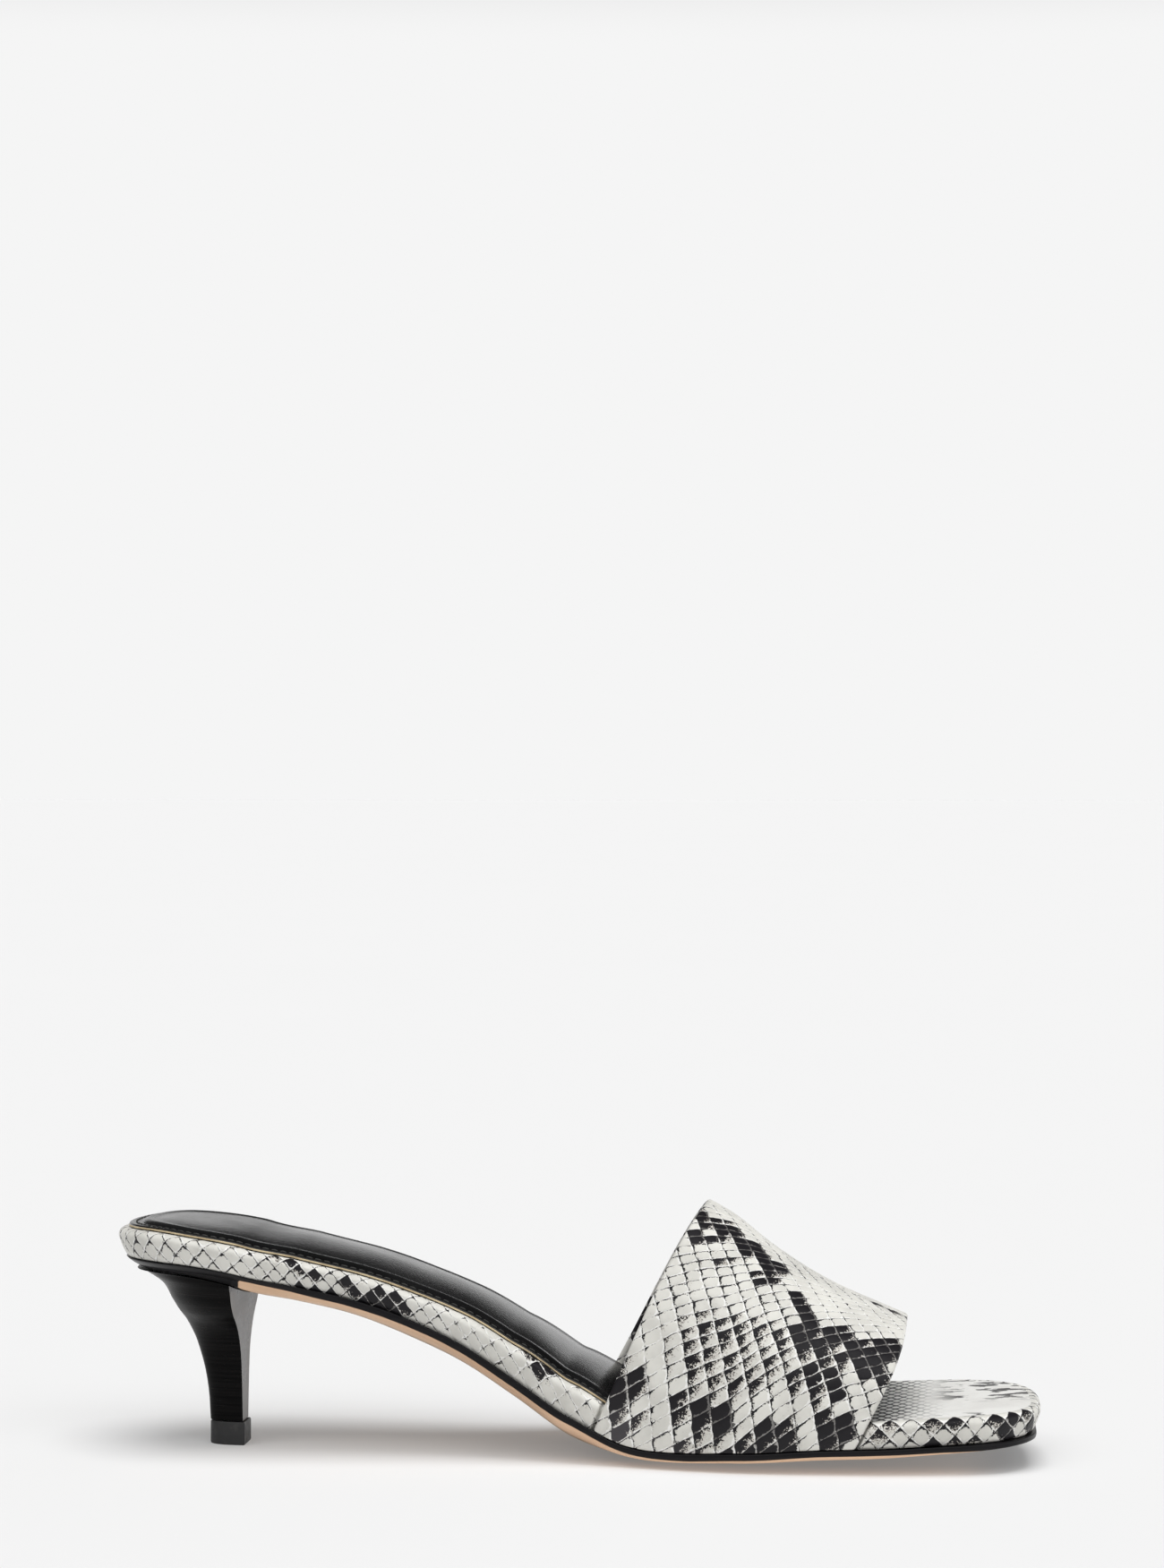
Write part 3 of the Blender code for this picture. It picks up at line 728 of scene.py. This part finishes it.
lead = times(reckon("ADD", in_u, in_v), 0.5)
centre_a = scaled(reckon("ADD", cell_u, cell_v), 0.5, 0.5)
centre_b = times(less(cell_u, cell_v), 0.5)
cell = shader_node("CombineXYZ", {0: centre_a, 1: centre_b, 2: 0.0}).outputs[0]
chance = shader_node("TexWhiteNoise", {"Vector": cell}).outputs["Value"]
out = tree.nodes.new("NodeGroupOutput")
for name, value in zip(group_outputs, (far, crown, lead, cell, chance)):
    tree.links.new(value, out.inputs[name])


def blotches(cell, rows):
    """How dark each scale is: the strongest of a few soft ovals laid over the scales"""
    darkest = 0.0
    for along, across, length, width, turn, strength in rows:
        sockets = {
            "Vector": cell,
            "Location": (along, across, 0),
            "Rotation": (0, 0, math.radians(turn)),
            "Scale": (length, width, 1),
        }
        mapped = shader_node("Mapping", sockets, vector_type="TEXTURE").outputs[0]
        reach = vector_math("LENGTH", mapped)["Value"]
        darkest = reckon("MAXIMUM", darkest, between(reach, 0.75, 1.2, strength, 0.0))
    return darkest


cream = (0.69, 0.68, 0.635)
cream_shade = (0.60, 0.59, 0.55)
# Colour of the painted highlight on the raised rims of the scales
rim_painted_highlight = (0.86, 0.855, 0.84)
warm_brown = (0.16, 0.105, 0.075)
snake_black = (0.012, 0.011, 0.013)


def swapped(vector):
    """The scales turned a quarter, so the ink starts from their other corner"""
    split = parts_of(vector)
    turned = {0: times(split[1], -1.0), 1: times(split[0], -1.0), 2: 0.0}
    return shader_node("CombineXYZ", turned).outputs[0]


def snake_finish(shader, colour, scales, grain):
    """Soft gloss and relief of the embossed leather: scales and grain, each with strength and depth"""
    link(shader, Base_Color=colour, Specular_IOR_Level=0.20)
    link(shader, Roughness=between(grain[0], 0.3, 0.7, 0.36, 0.48))
    link(shader, Normal=bump(*scales, bump(*grain)))


def snake_look(name, ovals, faint, greyed=100.0, upended=False, wobble=0.20, corner=3.4):
    """Snake embossed leather: cream scales with ink over whole or half scales, ink and painted furrow
    shade along their edges, and painted highlights on their rims
    """
    material, shader, where = new_look(name)
    scales = attribute(where, "scales")
    if upended:
        scales = swapped(scales)
    sockets = {"Scales": scales, "Wobble": wobble, "Corner": corner}
    group = shader_node("Group", sockets, node_tree=snake_scales).outputs
    reach, crown, lead, cell, chance = (group[key] for key in group_outputs)
    if upended:
        cell = swapped(cell)
    speck = noise(where, 2400, 4)
    mottle = noise(where, 800, 4)
    cloud = noise(where, 130, 3)
    dark = blotches(cell, ovals)
    plain = blotches(cell, faint)
    reach = scaled(less(speck, 0.5), 0.22, reach)
    rough_lead = scaled(less(mottle, 0.5), 0.8, lead)
    rough_lead = scaled(less(speck, 0.5), 1.3, rough_lead)
    # Ink that fills a scale from its rear upper corner, speckled at its limit
    shown = times(dark, scaled(chance, 0.55, 0.72))
    spare = less(scaled(shown, 1.2, -0.10), rough_lead)
    filled = between(spare, -0.02, 0.08)
    fringe = between(spare, -0.22, 0.02)
    # The rim of a scale on its fore and lower side: kept clear of ink except in the darkest places, and
    # given a painted highlight along its raised edge
    rim_place = scaled(mottle, 0.45, reach)
    rim = times(between(rim_place, 1.04, 1.13), between(lead, 0.44, 0.54))
    clear = less(1.0, times(rim, between(dark, 0.80, 0.99, 1.0, 0.22)))
    filled = times(filled, clear)
    # Dark lines under the rear and upper edges of the other scales, thick and thin: partly ink caught
    # there and partly painted furrow shade
    weight = scaled(mottle, 0.90, scaled(chance, 0.14, -0.34))
    weight = scaled(plain, -0.17, weight)
    inside = less(1.0, reach)
    furrow_ink_and_shade = between(less(weight, inside), -0.02, 0.07)
    furrow_ink_and_shade = times(furrow_ink_and_shade, between(rough_lead, 0.40, 0.56, 1.0, 0.0))
    # A thin grey line in every furrow round the scales is painted shade, fainter in the plain blotches
    furrow_shade_strength = scaled(plain, -0.09, 0.10)
    furrow_painted_shade = times(between(reach, 0.93, 1.05), furrow_shade_strength)
    pepper = times(between(speck, 0.64, 0.72), between(cloud, 0.45, 0.62, 0, 0.55))
    pepper = times(pepper, scaled(plain, -0.7, 1.0))
    base = mix_colour(between(cloud, 0.35, 0.65), cream, cream_shade)
    # Painted highlight along the rims
    base = mix_colour(times(rim, between(mottle, 0.35, 0.6, 0.15, 0.8)), base, rim_painted_highlight)
    base = mix_colour(furrow_painted_shade, base, (0.20, 0.19, 0.18))
    base = mix_colour(pepper, base, (0.16, 0.14, 0.13))
    base = mix_colour(times(times(fringe, clear), 0.40), base, warm_brown)
    depth = vector_math("DOT_PRODUCT", cell, (-0.17, 0.88, 0))["Value"]
    low = between(depth, greyed, greyed + 1.0)
    black = mix_colour(low, snake_black, (0.060, 0.056, 0.062))
    # Ink and the painted furrow shade together take the scales towards black
    dark_marks = reckon("MAXIMUM", filled, furrow_ink_and_shade)
    snake_finish(shader, mix_colour(dark_marks, base, black), (crown, 0.35, 0.00016), (mottle, 0.3, 0.00014))
    return material


# Blotches on the wrap: place and size in scales, turn in degrees, strength
rand_dark = (
    (12.0, 1.5, 0.5, 0.45, 0, 0.65),
    (13.2, 1.4, 0.6, 0.45, 0, 0.75),
    (14.5, 1.0, 0.45, 0.45, 0, 0.8),
    (13.5, 1.0, 0.45, 0.45, 0, 0.5),
    (14.6, 0.0, 1.4, 0.4, 0, 0.85),
    (16.5, 1.0, 0.5, 0.5, 0, 1.0),
    (18.3, 0.25, 1.7, 0.6, 0, 1.0),
    (18.9, 1.0, 0.8, 0.45, 0, 0.8),
    (20.0, 0.5, 0.45, 0.45, 0, 0.7),
    (27.5, 1.45, 0.6, 0.5, 0, 0.9),
    (43.8, 0.75, 0.6, 0.45, 0, 0.65),
    (44.6, 1.0, 0.45, 0.45, 0, 0.45),
    (46.5, 0.0, 0.5, 0.4, 0, 0.9),
    (46.5, 1.0, 0.45, 0.4, 0, 0.65),
    (47.5, 1.0, 0.45, 0.4, 0, 0.6),
    (47.9, 0.0, 0.7, 0.4, 0, 0.65),
    (49.9, 0.8, 0.8, 0.6, 0, 0.95),
    (50.5, 0.0, 0.45, 0.4, 0, 0.85),
    (51.5, 1.0, 0.45, 0.4, 0, 0.7),
    (52.2, 0.25, 0.5, 0.6, 0, 1.0),
)
rand_plain = (
    (5.0, 0.7, 6.5, 1.2, 0, 0.20),
    (26.5, 0.6, 5.5, 1.3, 0, 0.85),
)
snake_rand = snake_look("snake_leather_rand", rand_dark, rand_plain, upended=True)

# The platform for the toes: a fine net of stretched scales behind, streaks of ink toward the tip
snake_toe, shader, where = new_look("snake_leather_toe")
toe_scale = (0.0032, 0.0056)
net = vector_math("MULTIPLY", where, (1 / toe_scale[0], 1 / toe_scale[1], 0))[0]
sockets = {"Scales": net, "Wobble": 0.25, "Corner": 3.0}
group = shader_node("Group", sockets, node_tree=snake_scales).outputs
split = parts_of(where)
mottle = noise(where, 800, 4)
cloud = noise(where, 90, 3)
wave = noise(where, 250, 5, (0.6, 1.0, 1.0))
behind = between(scaled(cloud, 0.012, split[0]), 0.086, 0.103, 1.0, 0.0)
far_half = between(split[1], -0.012, 0.000)
near_edge = between(split[1], -0.030, -0.026, 1.0, 0.0)
fore = times(between(split[0], 0.090, 0.100), reckon("MAXIMUM", far_half, near_edge))
streak = times(between(wave, 0.53, 0.56), fore)
lines = times(between(group["Reach"], 0.66, 0.80), behind)
dark_marks = reckon("MAXIMUM", times(streak, 0.9), times(lines, between(mottle, 0.3, 0.5, 0.7, 1.0)))
# The toe's cream is painted paler than the wrap's: painted light that makes up for the shade of the band
# over the platform
base = mix_colour(between(cloud, 0.35, 0.65), (0.82, 0.815, 0.785), (0.74, 0.73, 0.70))
colour = mix_colour(dark_marks, base, snake_black)
snake_finish(shader, colour, (group["Crown"], 0.3, 0.00012), (mottle, 0.25, 0.00012))
dress(footbed, "snake_leather_rand", "footbed", snake_rand, snake_toe)

# Sock
# Smooth black leather over thin foam, glued to the footbed. Its rim lies flat with one row of
# stitches, the middle is padded, and the front ends under the band.
sock_flange = 0.0008
sock_flange_width = 0.0032
sock_pad = 0.0010
sock_step_width = 0.0020
sock_end = blend(band_rear[1], band_front[1], 0.30) * shoe_length
# Place in from the edge (0 to 1 the flange, to 2 the step), share of the way to the middle, then
# shares of the flange's and of the pad's thickness
sock_rows = (
    (0.00, 0.00, 0.55, 0.00),
    (0.03, 0.00, 0.85, 0.00),
    (0.08, 0.00, 1.00, 0.00),
    (0.55, 0.00, 1.00, 0.00),
    (0.60, 0.00, 0.86, 0.00),
    (0.65, 0.00, 1.00, 0.00),
    (0.96, 0.00, 1.00, 0.02),
    (1.06, 0.00, 0.92, 0.02),
    (1.16, 0.00, 1.00, 0.22),
    (1.35, 0.00, 1.00, 0.45),
    (1.65, 0.00, 1.00, 0.65),
    (2.00, 0.00, 1.00, 0.80),
    (2.00, 0.06, 1.00, 0.55),
    (2.00, 0.12, 1.00, 0.63),
    (2.00, 0.20, 1.00, 0.72),
    (2.00, 0.30, 1.00, 0.80),
    (2.00, 0.42, 1.00, 0.87),
    (2.00, 0.56, 1.00, 0.93),
    (2.00, 0.78, 1.00, 0.975),
    (2.00, 1.00, 1.00, 1.00),
)
sock_plan = plan(16, no_notch)
sock_dome = 0.0007


def sock_height(lift, dome=0.0):
    def height(x, q):
        crown = dome * (1 - (q / 0.78) ** 2) * eased((x - 0.012) / 0.05)
        return footbed_top(x) + gap + (lift + crown) * upright(x)

    return height


sock_rings = [ring(*sock_plan, sock_inset, share, sock_height(0)) for share in (1, 0.5, 0)]
for at, to_middle, flange, pad in sock_rows:
    inset = sock_inset + min(at, 1) * sock_flange_width + max(at - 1, 0) * sock_step_width
    lift = flange * sock_flange + pad * sock_pad
    sock_rings.append(ring(*sock_plan, inset, to_middle, sock_height(lift, sock_dome * max(0, at - 1))))
sock = ring_piece("padded_sock", sock_rings, [0, 0, 1] + [0] * (len(sock_rings) - 4))
bm = bmesh.new()
bm.from_mesh(sock.data)
cut = bmesh.ops.bisect_plane(
    bm,
    geom=bm.verts[:] + bm.edges[:] + bm.faces[:],
    plane_co=place(np.float64(sock_end), 0, 0),
    plane_no=(1, 0, 0),
    clear_outer=True,
)
cut_edges = [item for item in cut["geom_cut"] if isinstance(item, bmesh.types.BMEdge)]
bmesh.ops.edgeloop_fill(bm, edges=cut_edges)
bmesh.ops.recalc_face_normals(bm, faces=bm.faces)
bm.to_mesh(sock.data)
bm.free()

black_sock, shader, where = new_look("black_sock_leather")
sockets = {"Vector": where, "Scale": 1400}
pores = shader_node("TexVoronoi", sockets).outputs["Distance"]
grain = noise(where, 1100, 4)
cloud = noise(where, 45, 3)
sock_colour = mix_colour(between(cloud, 0.35, 0.7), (0.003, 0.003, 0.003), (0.007, 0.007, 0.0075))
link(shader, Base_Color=sock_colour, Roughness=between(cloud, 0.3, 0.7, 0.17, 0.23))
link(shader, Specular_IOR_Level=0.5)
fine = bump(grain, 0.25, 0.00012)
link(shader, Normal=bump(pores, 0.2, 0.00010, fine))


def plain_leather(name, grain, cloud, spread, tints, roughness, depth, gloss=0.5):
    """Leather of one colour in two tints, its grain in the roughness and in the relief"""
    material, shader, where = new_look(name)
    grain = noise(where, grain, 4)
    cloud = noise(where, cloud, 3)
    link(shader, Base_Color=mix_colour(between(cloud, 0.35, spread), *tints))
    link(shader, Roughness=between(grain, 0.3, 0.7, *roughness), Specular_IOR_Level=gloss)
    link(shader, Normal=bump(grain, 0.3, depth))
    return material


# The sock's cut edge, where it meets the wrap, carries a thin tan line: a painted highlight of the wrap's
# top edge
edge_highlight_tints = ((0.72, 0.60, 0.40), (0.58, 0.46, 0.29))
painted_edge_highlight = plain_leather("painted_highlight_edge", 1600, 200, 0.65, edge_highlight_tints, (0.55, 0.75), 0.0001, 0.1)
dress(sock, "black_sock_leather", "sock_pad", black_sock, painted_edge_highlight)

# Stitches of the sock
# One row of black thread round the rim, two thirds of the way in from its edge.
stitch_pitch = 0.0023
stitch_length = 0.0017
thread = 0.00022
stitch_line = ring(*sock_plan, sock_inset + 0.60 * sock_flange_width, 0, sock_height(sock_flange * 0.92))
stitch_line = np.roll(stitch_line, len(stitch_line) // 2, axis=0)
line_step = np.linalg.norm(np.diff(stitch_line, axis=0), axis=1)
line_place = running(line_step)
bm = bmesh.new()
for start in np.arange(0, line_place[-1] - stitch_length, stitch_pitch):
    ends = [
        Vector([np.interp(start + part * stitch_length, line_place, stitch_line[:, k]) for k in range(3)])
        for part in (0, 1)
    ]
    if max(end.x for end in ends) > sock_end - shoe_length / 2 - stitch_pitch:
        continue
    ahead = (ends[1] - ends[0]).normalized()
    side = ahead.cross(Vector((0, 0, 1))).normalized()
    over = side.cross(ahead)
    loops = []
    for part, size in ((0, 0.35), (0.12, 0.85), (0.5, 1.0), (0.88, 0.85), (1, 0.35)):
        middle = ends[0].lerp(ends[1], part) + over * thread * 0.5 * (1 - (2 * part - 1) ** 4)
        loops.append([])
        for k in range(8):
            angle = math.tau * k / 8
            out = side * math.cos(angle) + over * math.sin(angle)
            loops[-1].append(bm.verts.new(middle + out * thread * size))
    skin_rings(bm, loops)
    bm.faces.new(loops[0])
    bm.faces.new(loops[-1])
stitches = mesh_piece("sock_stitches", bm)

black_thread, shader, where = new_look("black_thread")
twist = noise(where, 3000, 2)
link(shader, Base_Color=mix_colour(twist, (0.015, 0.015, 0.014), (0.06, 0.06, 0.055)), Roughness=0.5)
link(shader, Normal=bump(twist, 0.4, 0.0001))
dress(stitches, "black_sock_leather", None, black_thread)

# Band
# One wide strap of the embossed leather, lasted under the footbed on both sides. Its two long edges
# are folded under, and a thin dark lining is glued in between the folds.
leather_share = 0.0010
fold_width = 0.0022
fold_round = 0.0009
fold_step = 0.0003
glue_line = 0.0001
relief_fade = 0.002
skin_lean = math.radians(31)
skin_middle = 0.036
# Distance down from the crest line, length of a scale and height of a scale there, in metres
scale_rows = (
    (0.000, 0.0052, 0.0034),
    (0.012, 0.0053, 0.0036),
    (0.022, 0.0056, 0.0042),
    (0.032, 0.0059, 0.0052),
    (0.042, 0.0060, 0.0070),
    (0.060, 0.0061, 0.0085),
)
# How much finer the scales run down the band and toward the toe than those rows give
scales_down = 1.38
scales_toward = 0.95
arch_steps = 300
edge_steps = 8
middle_steps = 110


turns = np.linspace(0, 1, arch_steps + 1)
rear_at = band_edge(band_rear, turns)
front_at = band_edge(band_front, turns)
fold = (1 - np.cos(np.linspace(0, math.pi / 2, edge_steps + 1))) * fold_round
fold = np.concatenate([fold, [fold_width, fold_width * 1.15]])
inner_part = np.linspace(0, 1, middle_steps + 1)[1:-1]


def band_grid(from_rear, from_front, shares):
    """Points of the band's outer face at distances in from both edges, with evenly spread rows between"""
    width = (front_at - rear_at)[:, None]
    lows = from_rear[None, :] / width
    highs = 1 - from_front[None, ::-1] / width
    low = lows[:, -1:]
    high = highs[:, :1]
    across = np.concatenate([lows, low + (high - low) * shares[None, :], highs], 1)
    x = rear_at[:, None] + width * across
    x, y, z = arch_point(x, turns[:, None] + 0 * x)
    return place(x, y, z), x, across * width, (1 - across) * width


def outward(grid):
    """Unit normals of a grid of points, pointing away from the foot"""
    du = np.gradient(grid, axis=0)
    dv = np.gradient(grid, axis=1)
    normal = np.cross(dv, du)
    normal /= np.linalg.norm(normal, axis=2, keepdims=True)
    return normal * np.sign(normal[len(grid) // 2, :, 2].mean())


def shell_piece(name, outer, inner, values=None):
    """Closed shell between two grids of points"""
    rows, columns = outer.shape[:2]
    index = np.arange(rows * columns).reshape(rows, columns)
    a, b, c, d = index[:-1, :-1], index[1:, :-1], index[1:, 1:], index[:-1, 1:]
    faces = np.stack([a, b, c, d], -1).reshape(-1, 4)
    back = faces[:, ::-1] + rows * columns
    rim = np.concatenate([index[0, :-1], index[:-1, -1], index[-1, :0:-1], index[:0:-1, 0]])
    ahead = np.roll(rim, -1)
    sides = np.stack([rim, ahead, ahead + rows * columns, rim + rows * columns], 1)
    mesh = bpy.data.meshes.new(name)
    verts = np.concatenate([outer.reshape(-1, 3), inner.reshape(-1, 3)])
    mesh.from_pydata(verts.tolist(), [], np.concatenate([faces, back, sides]).tolist())
    bm = bmesh.new()
    bm.from_mesh(mesh)
    piece = mesh_piece(name, bm, mesh)
    mesh.shade_smooth()
    for key, value in (values or {}).items():
        layer = mesh.attributes.new(key, "FLOAT_VECTOR", "POINT")
        layer.data.foreach_set("vector", np.tile(value.ravel(), 2))
    return piece


skin, x, to_rear, to_front = band_grid(fold, fold, inner_part)
normal = outward(skin)
to_edge = np.minimum(to_rear, to_front)
arc_step = np.linalg.norm(np.diff(skin, axis=0), axis=2)
arc = np.concatenate([np.zeros((1, skin.shape[1])), np.cumsum(arc_step, axis=0)])
arc = np.abs(arc - arc[arch_steps // 2])
drop = instep_height - crest("height", x) * instep_height
ahead = (x - rear_at.max()) * math.cos(skin_lean) + (drop + arc) * math.sin(skin_lean)
aside = -(x - rear_at.max()) * math.sin(skin_lean) + (drop + arc) * math.cos(skin_lean)
down_at = np.linspace(-0.012, 0.070, 400)
scale_places, *scale_sizes = zip(*scale_rows)
length_at, pitch_at = (smooth(scale_places, sizes, np.abs(down_at)) for sizes in scale_sizes)
rows_at = running((1 / pitch_at[1:] + 1 / pitch_at[:-1]) / 2 * np.diff(down_at))
rows_at = rows_at - np.interp(0, down_at, rows_at)
band_along = (ahead - skin_middle) / np.interp(aside, down_at, length_at) + skin_middle / scale_rows[3][1]
band_across = np.interp(aside, down_at, rows_at)
band_down = scales_down * (band_along + band_across)
band_toward = scales_toward * (band_along - band_across)
band_along = (band_down + band_toward) / 2
band_across = (band_down - band_toward) / 2
rounding = fold_round - np.sqrt(np.maximum(0, fold_round**2 - np.maximum(0, fold_round - to_edge) ** 2))
sunk = (relief(band_along, band_across) - 1) * relief_depth * eased(to_edge / relief_fade)
outer = skin + normal * (sunk - rounding)[:, :, None]
folded = band_wall - glue_line
thick = blend(folded, leather_share, eased((to_edge - fold_width) / fold_step))
inner = skin - normal * (thick - rounding * folded / fold_round / 2)[:, :, None]
band_scales = np.stack([band_along, band_across, to_edge], -1)
band = shell_piece("snake_band", outer, inner, {"scales": band_scales})

# Blotches on the band: place and size counted in scales, turn in degrees, strength
band_dark = (
    (-0.1, 2.4, 0.6, 0.4, 0, 1.0),
    (0.6, 3.2, 0.6, 0.5, 0, 1.0),
    (1.7, 2.7, 1.0, 0.9, 0, 1.0),
    (0.9, 4.2, 0.8, 0.5, 0, 1.0),
    (3.2, 3.0, 1.1, 0.8, 10, 1.0),
    (4.3, 3.6, 1.1, 0.8, 30, 1.0),
    (4.8, 4.8, 0.7, 0.5, 45, 0.9),
    (2.6, 5.0, 0.9, 0.5, -45, 0.45),
    (7.0, 5.5, 1.1, 0.6, 45, 1.0),
    (8.0, 6.9, 1.1, 0.8, 0, 1.0),
    (9.2, 6.2, 1.0, 0.6, -30, 0.95),
    (11.0, 6.0, 2.3, 0.8, -45, 1.0),
    (11.3, 7.1, 0.8, 0.6, 0, 0.9),
    (9.4, 8.6, 1.3, 0.8, 0, 0.85),
    (8.8, 7.6, 1.0, 0.6, 0, 0.6),
    (10.8, 10.0, 0.9, 0.7, 0, 0.95),
    (8.5, 10.8, 1.4, 0.6, 0, 0.95),
    (7.3, 11.3, 0.8, 0.5, 0, 0.9),
    (5.4, 10.8, 1.5, 0.6, 0, 1.0),
    (5.5, 12.1, 0.7, 0.5, 0, 0.7),
    (1.4, 11.2, 1.1, 0.7, 0, 0.9),
    (2.4, 12.1, 0.7, 0.5, 0, 0.7),
    (5.2, 8.6, 2.8, 1.7, -10, 0.52),
    (9.5, -0.2, 1.6, 0.5, 0, 1.0),
)
band_plain = (
    (8.9, 3.0, 3.5, 2.2, -8, 0.9),
    (2.0, 0.5, 3.0, 1.3, 0, 0.7),
    (2.1, 9.6, 1.3, 1.3, 0, 0.9),
    (3.2, 11.6, 0.8, 1.2, 0, 0.5),
)


def restated(rows):
    """The same blotches, counted on the finer scales"""
    both = (scales_down + scales_toward) / 2
    skew = (scales_down - scales_toward) / 2
    finer = np.array(((both, skew), (skew, both)))
    fresh = []
    for along, across, length, width, turn, strength in rows:
        lean = math.radians(turn)
        axes = np.array(((math.cos(lean), -math.sin(lean)), (math.sin(lean), math.cos(lean))))
        axes = finer @ axes @ np.diag((length, width))
        ways, spans, rest = np.linalg.svd(axes)
        middle = finer @ (along, across)
        fresh.append((*middle, *spans, math.degrees(math.atan2(ways[1, 0], ways[0, 0])), strength))
    return fresh


snake_band = snake_look("snake_leather_band", restated(band_dark), restated(band_plain), 11.4)
dress(band, "snake_leather_band", "upper_band", snake_band)

# Lining of the band
# A thin black leather sheet inside the band, between the two folded edges.
lining_steps = 40
lining_inset = np.array([fold_width + fold_step + glue_line])
skin = band_grid(lining_inset, lining_inset, np.linspace(0, 1, lining_steps + 1)[1:-1])[0]
normal = outward(skin)
lining_face = skin - normal * (leather_share + glue_line / 2)
lining = shell_piece("band_lining", lining_face, skin - normal * band_wall)

lining_tints = ((0.012, 0.012, 0.013), (0.024, 0.023, 0.023))
black_lining = plain_leather("black_lining_leather", 900, 50, 0.7, lining_tints, (0.45, 0.6), 0.00012)
dress(lining, "snake_leather_band", None, black_lining)

# Floor
# A plain pale sheet lit a little from below, under the shoe and running back to the pale surround.
mesh = bpy.data.meshes.new("paper_floor")
mesh.from_pydata(((-9, -3, 0), (9, -3, 0), (9, 16, 0), (-9, 16, 0)), [], ((0, 1, 2, 3),))
floor = add_piece("paper_floor", mesh)
pale_floor, shader, where = new_look("pale_floor")
paper = noise(where, 3, 2)
link(shader, Base_Color=mix_colour(paper, (0.640, 0.640, 0.640), (0.644, 0.644, 0.644)))
link(shader, Roughness=0.9, Specular_IOR_Level=0.0, Emission_Strength=0.17)
link(shader, Emission_Color=mix_colour(paper, (0.995, 0.995, 0.995), (1.0, 1.0, 1.0)))
floor.data.materials.append(pale_floor)

# Lights
# Soft light from straight above and in front, and a pale backdrop up to a little above the frame.
sun = bpy.data.lights.new("overhead_light", "SUN")
sun.energy = 1.90
sun.angle = math.radians(38)
holder = add_piece("overhead_light", sun)
holder.visible_glossy = False
holder.rotation_mode = "QUATERNION"
holder.rotation_quaternion = Vector((-0.08, 0.10, -0.99)).to_track_quat("-Z", "Y")
world = bpy.data.worlds.new("pale_surround")
bpy.context.scene.world = world
world.use_nodes = True
tree = world.node_tree
toward = tree.nodes.new("ShaderNodeTexCoord").outputs["Generated"]
split = parts_of(toward)
glow = 0.06
# Strength of a bright part of the surround, then each axis that bounds it with its fade in or out
for strength, *fades in (
    (0.853, (2, 0.165, 0.235, 1.0, 0.0), (1, -0.2, 0.3)),
    (1.8, (2, 0.35, 0.60), (1, -0.45, -0.10, 1.0, 0.0)),
    (1.2, (0, 0.38, 0.60), (2, 0.25, 0.50, 1.0, 0.0)),
):
    bright = times(*(between(split[axis], *limits) for axis, *limits in fades))
    glow = scaled(bright, strength, glow)
background = world.node_tree.nodes["Background"]
background.inputs["Color"].default_value = (1, 1, 1, 1)
tree.links.new(glow, background.inputs["Strength"])
bpy.context.scene.view_settings.view_transform = "Standard"

# Camera
# A long lens a little above the shoe and a little toward its toe, level with the photograph's frame.
camera_turn = math.radians(5.5)
camera_dip = math.radians(0.38545)
camera_far = 1.100
camera_high = 0.180
camera_aside = 0.001536
camera = bpy.data.cameras.new("camera")
camera.sensor_width = 36
camera.lens = 97.252
holder = add_piece("camera", camera)
turned = Matrix.Rotation(camera_turn, 4, "Z")
spot = turned @ Vector((camera_aside, -camera_far, camera_high)) + Vector((0, side_shift, 0))
tilt = Matrix.Rotation(math.pi / 2 - camera_dip, 4, "X")
holder.matrix_world = Matrix.Translation(spot) @ turned @ tilt
bpy.context.scene.camera = holder
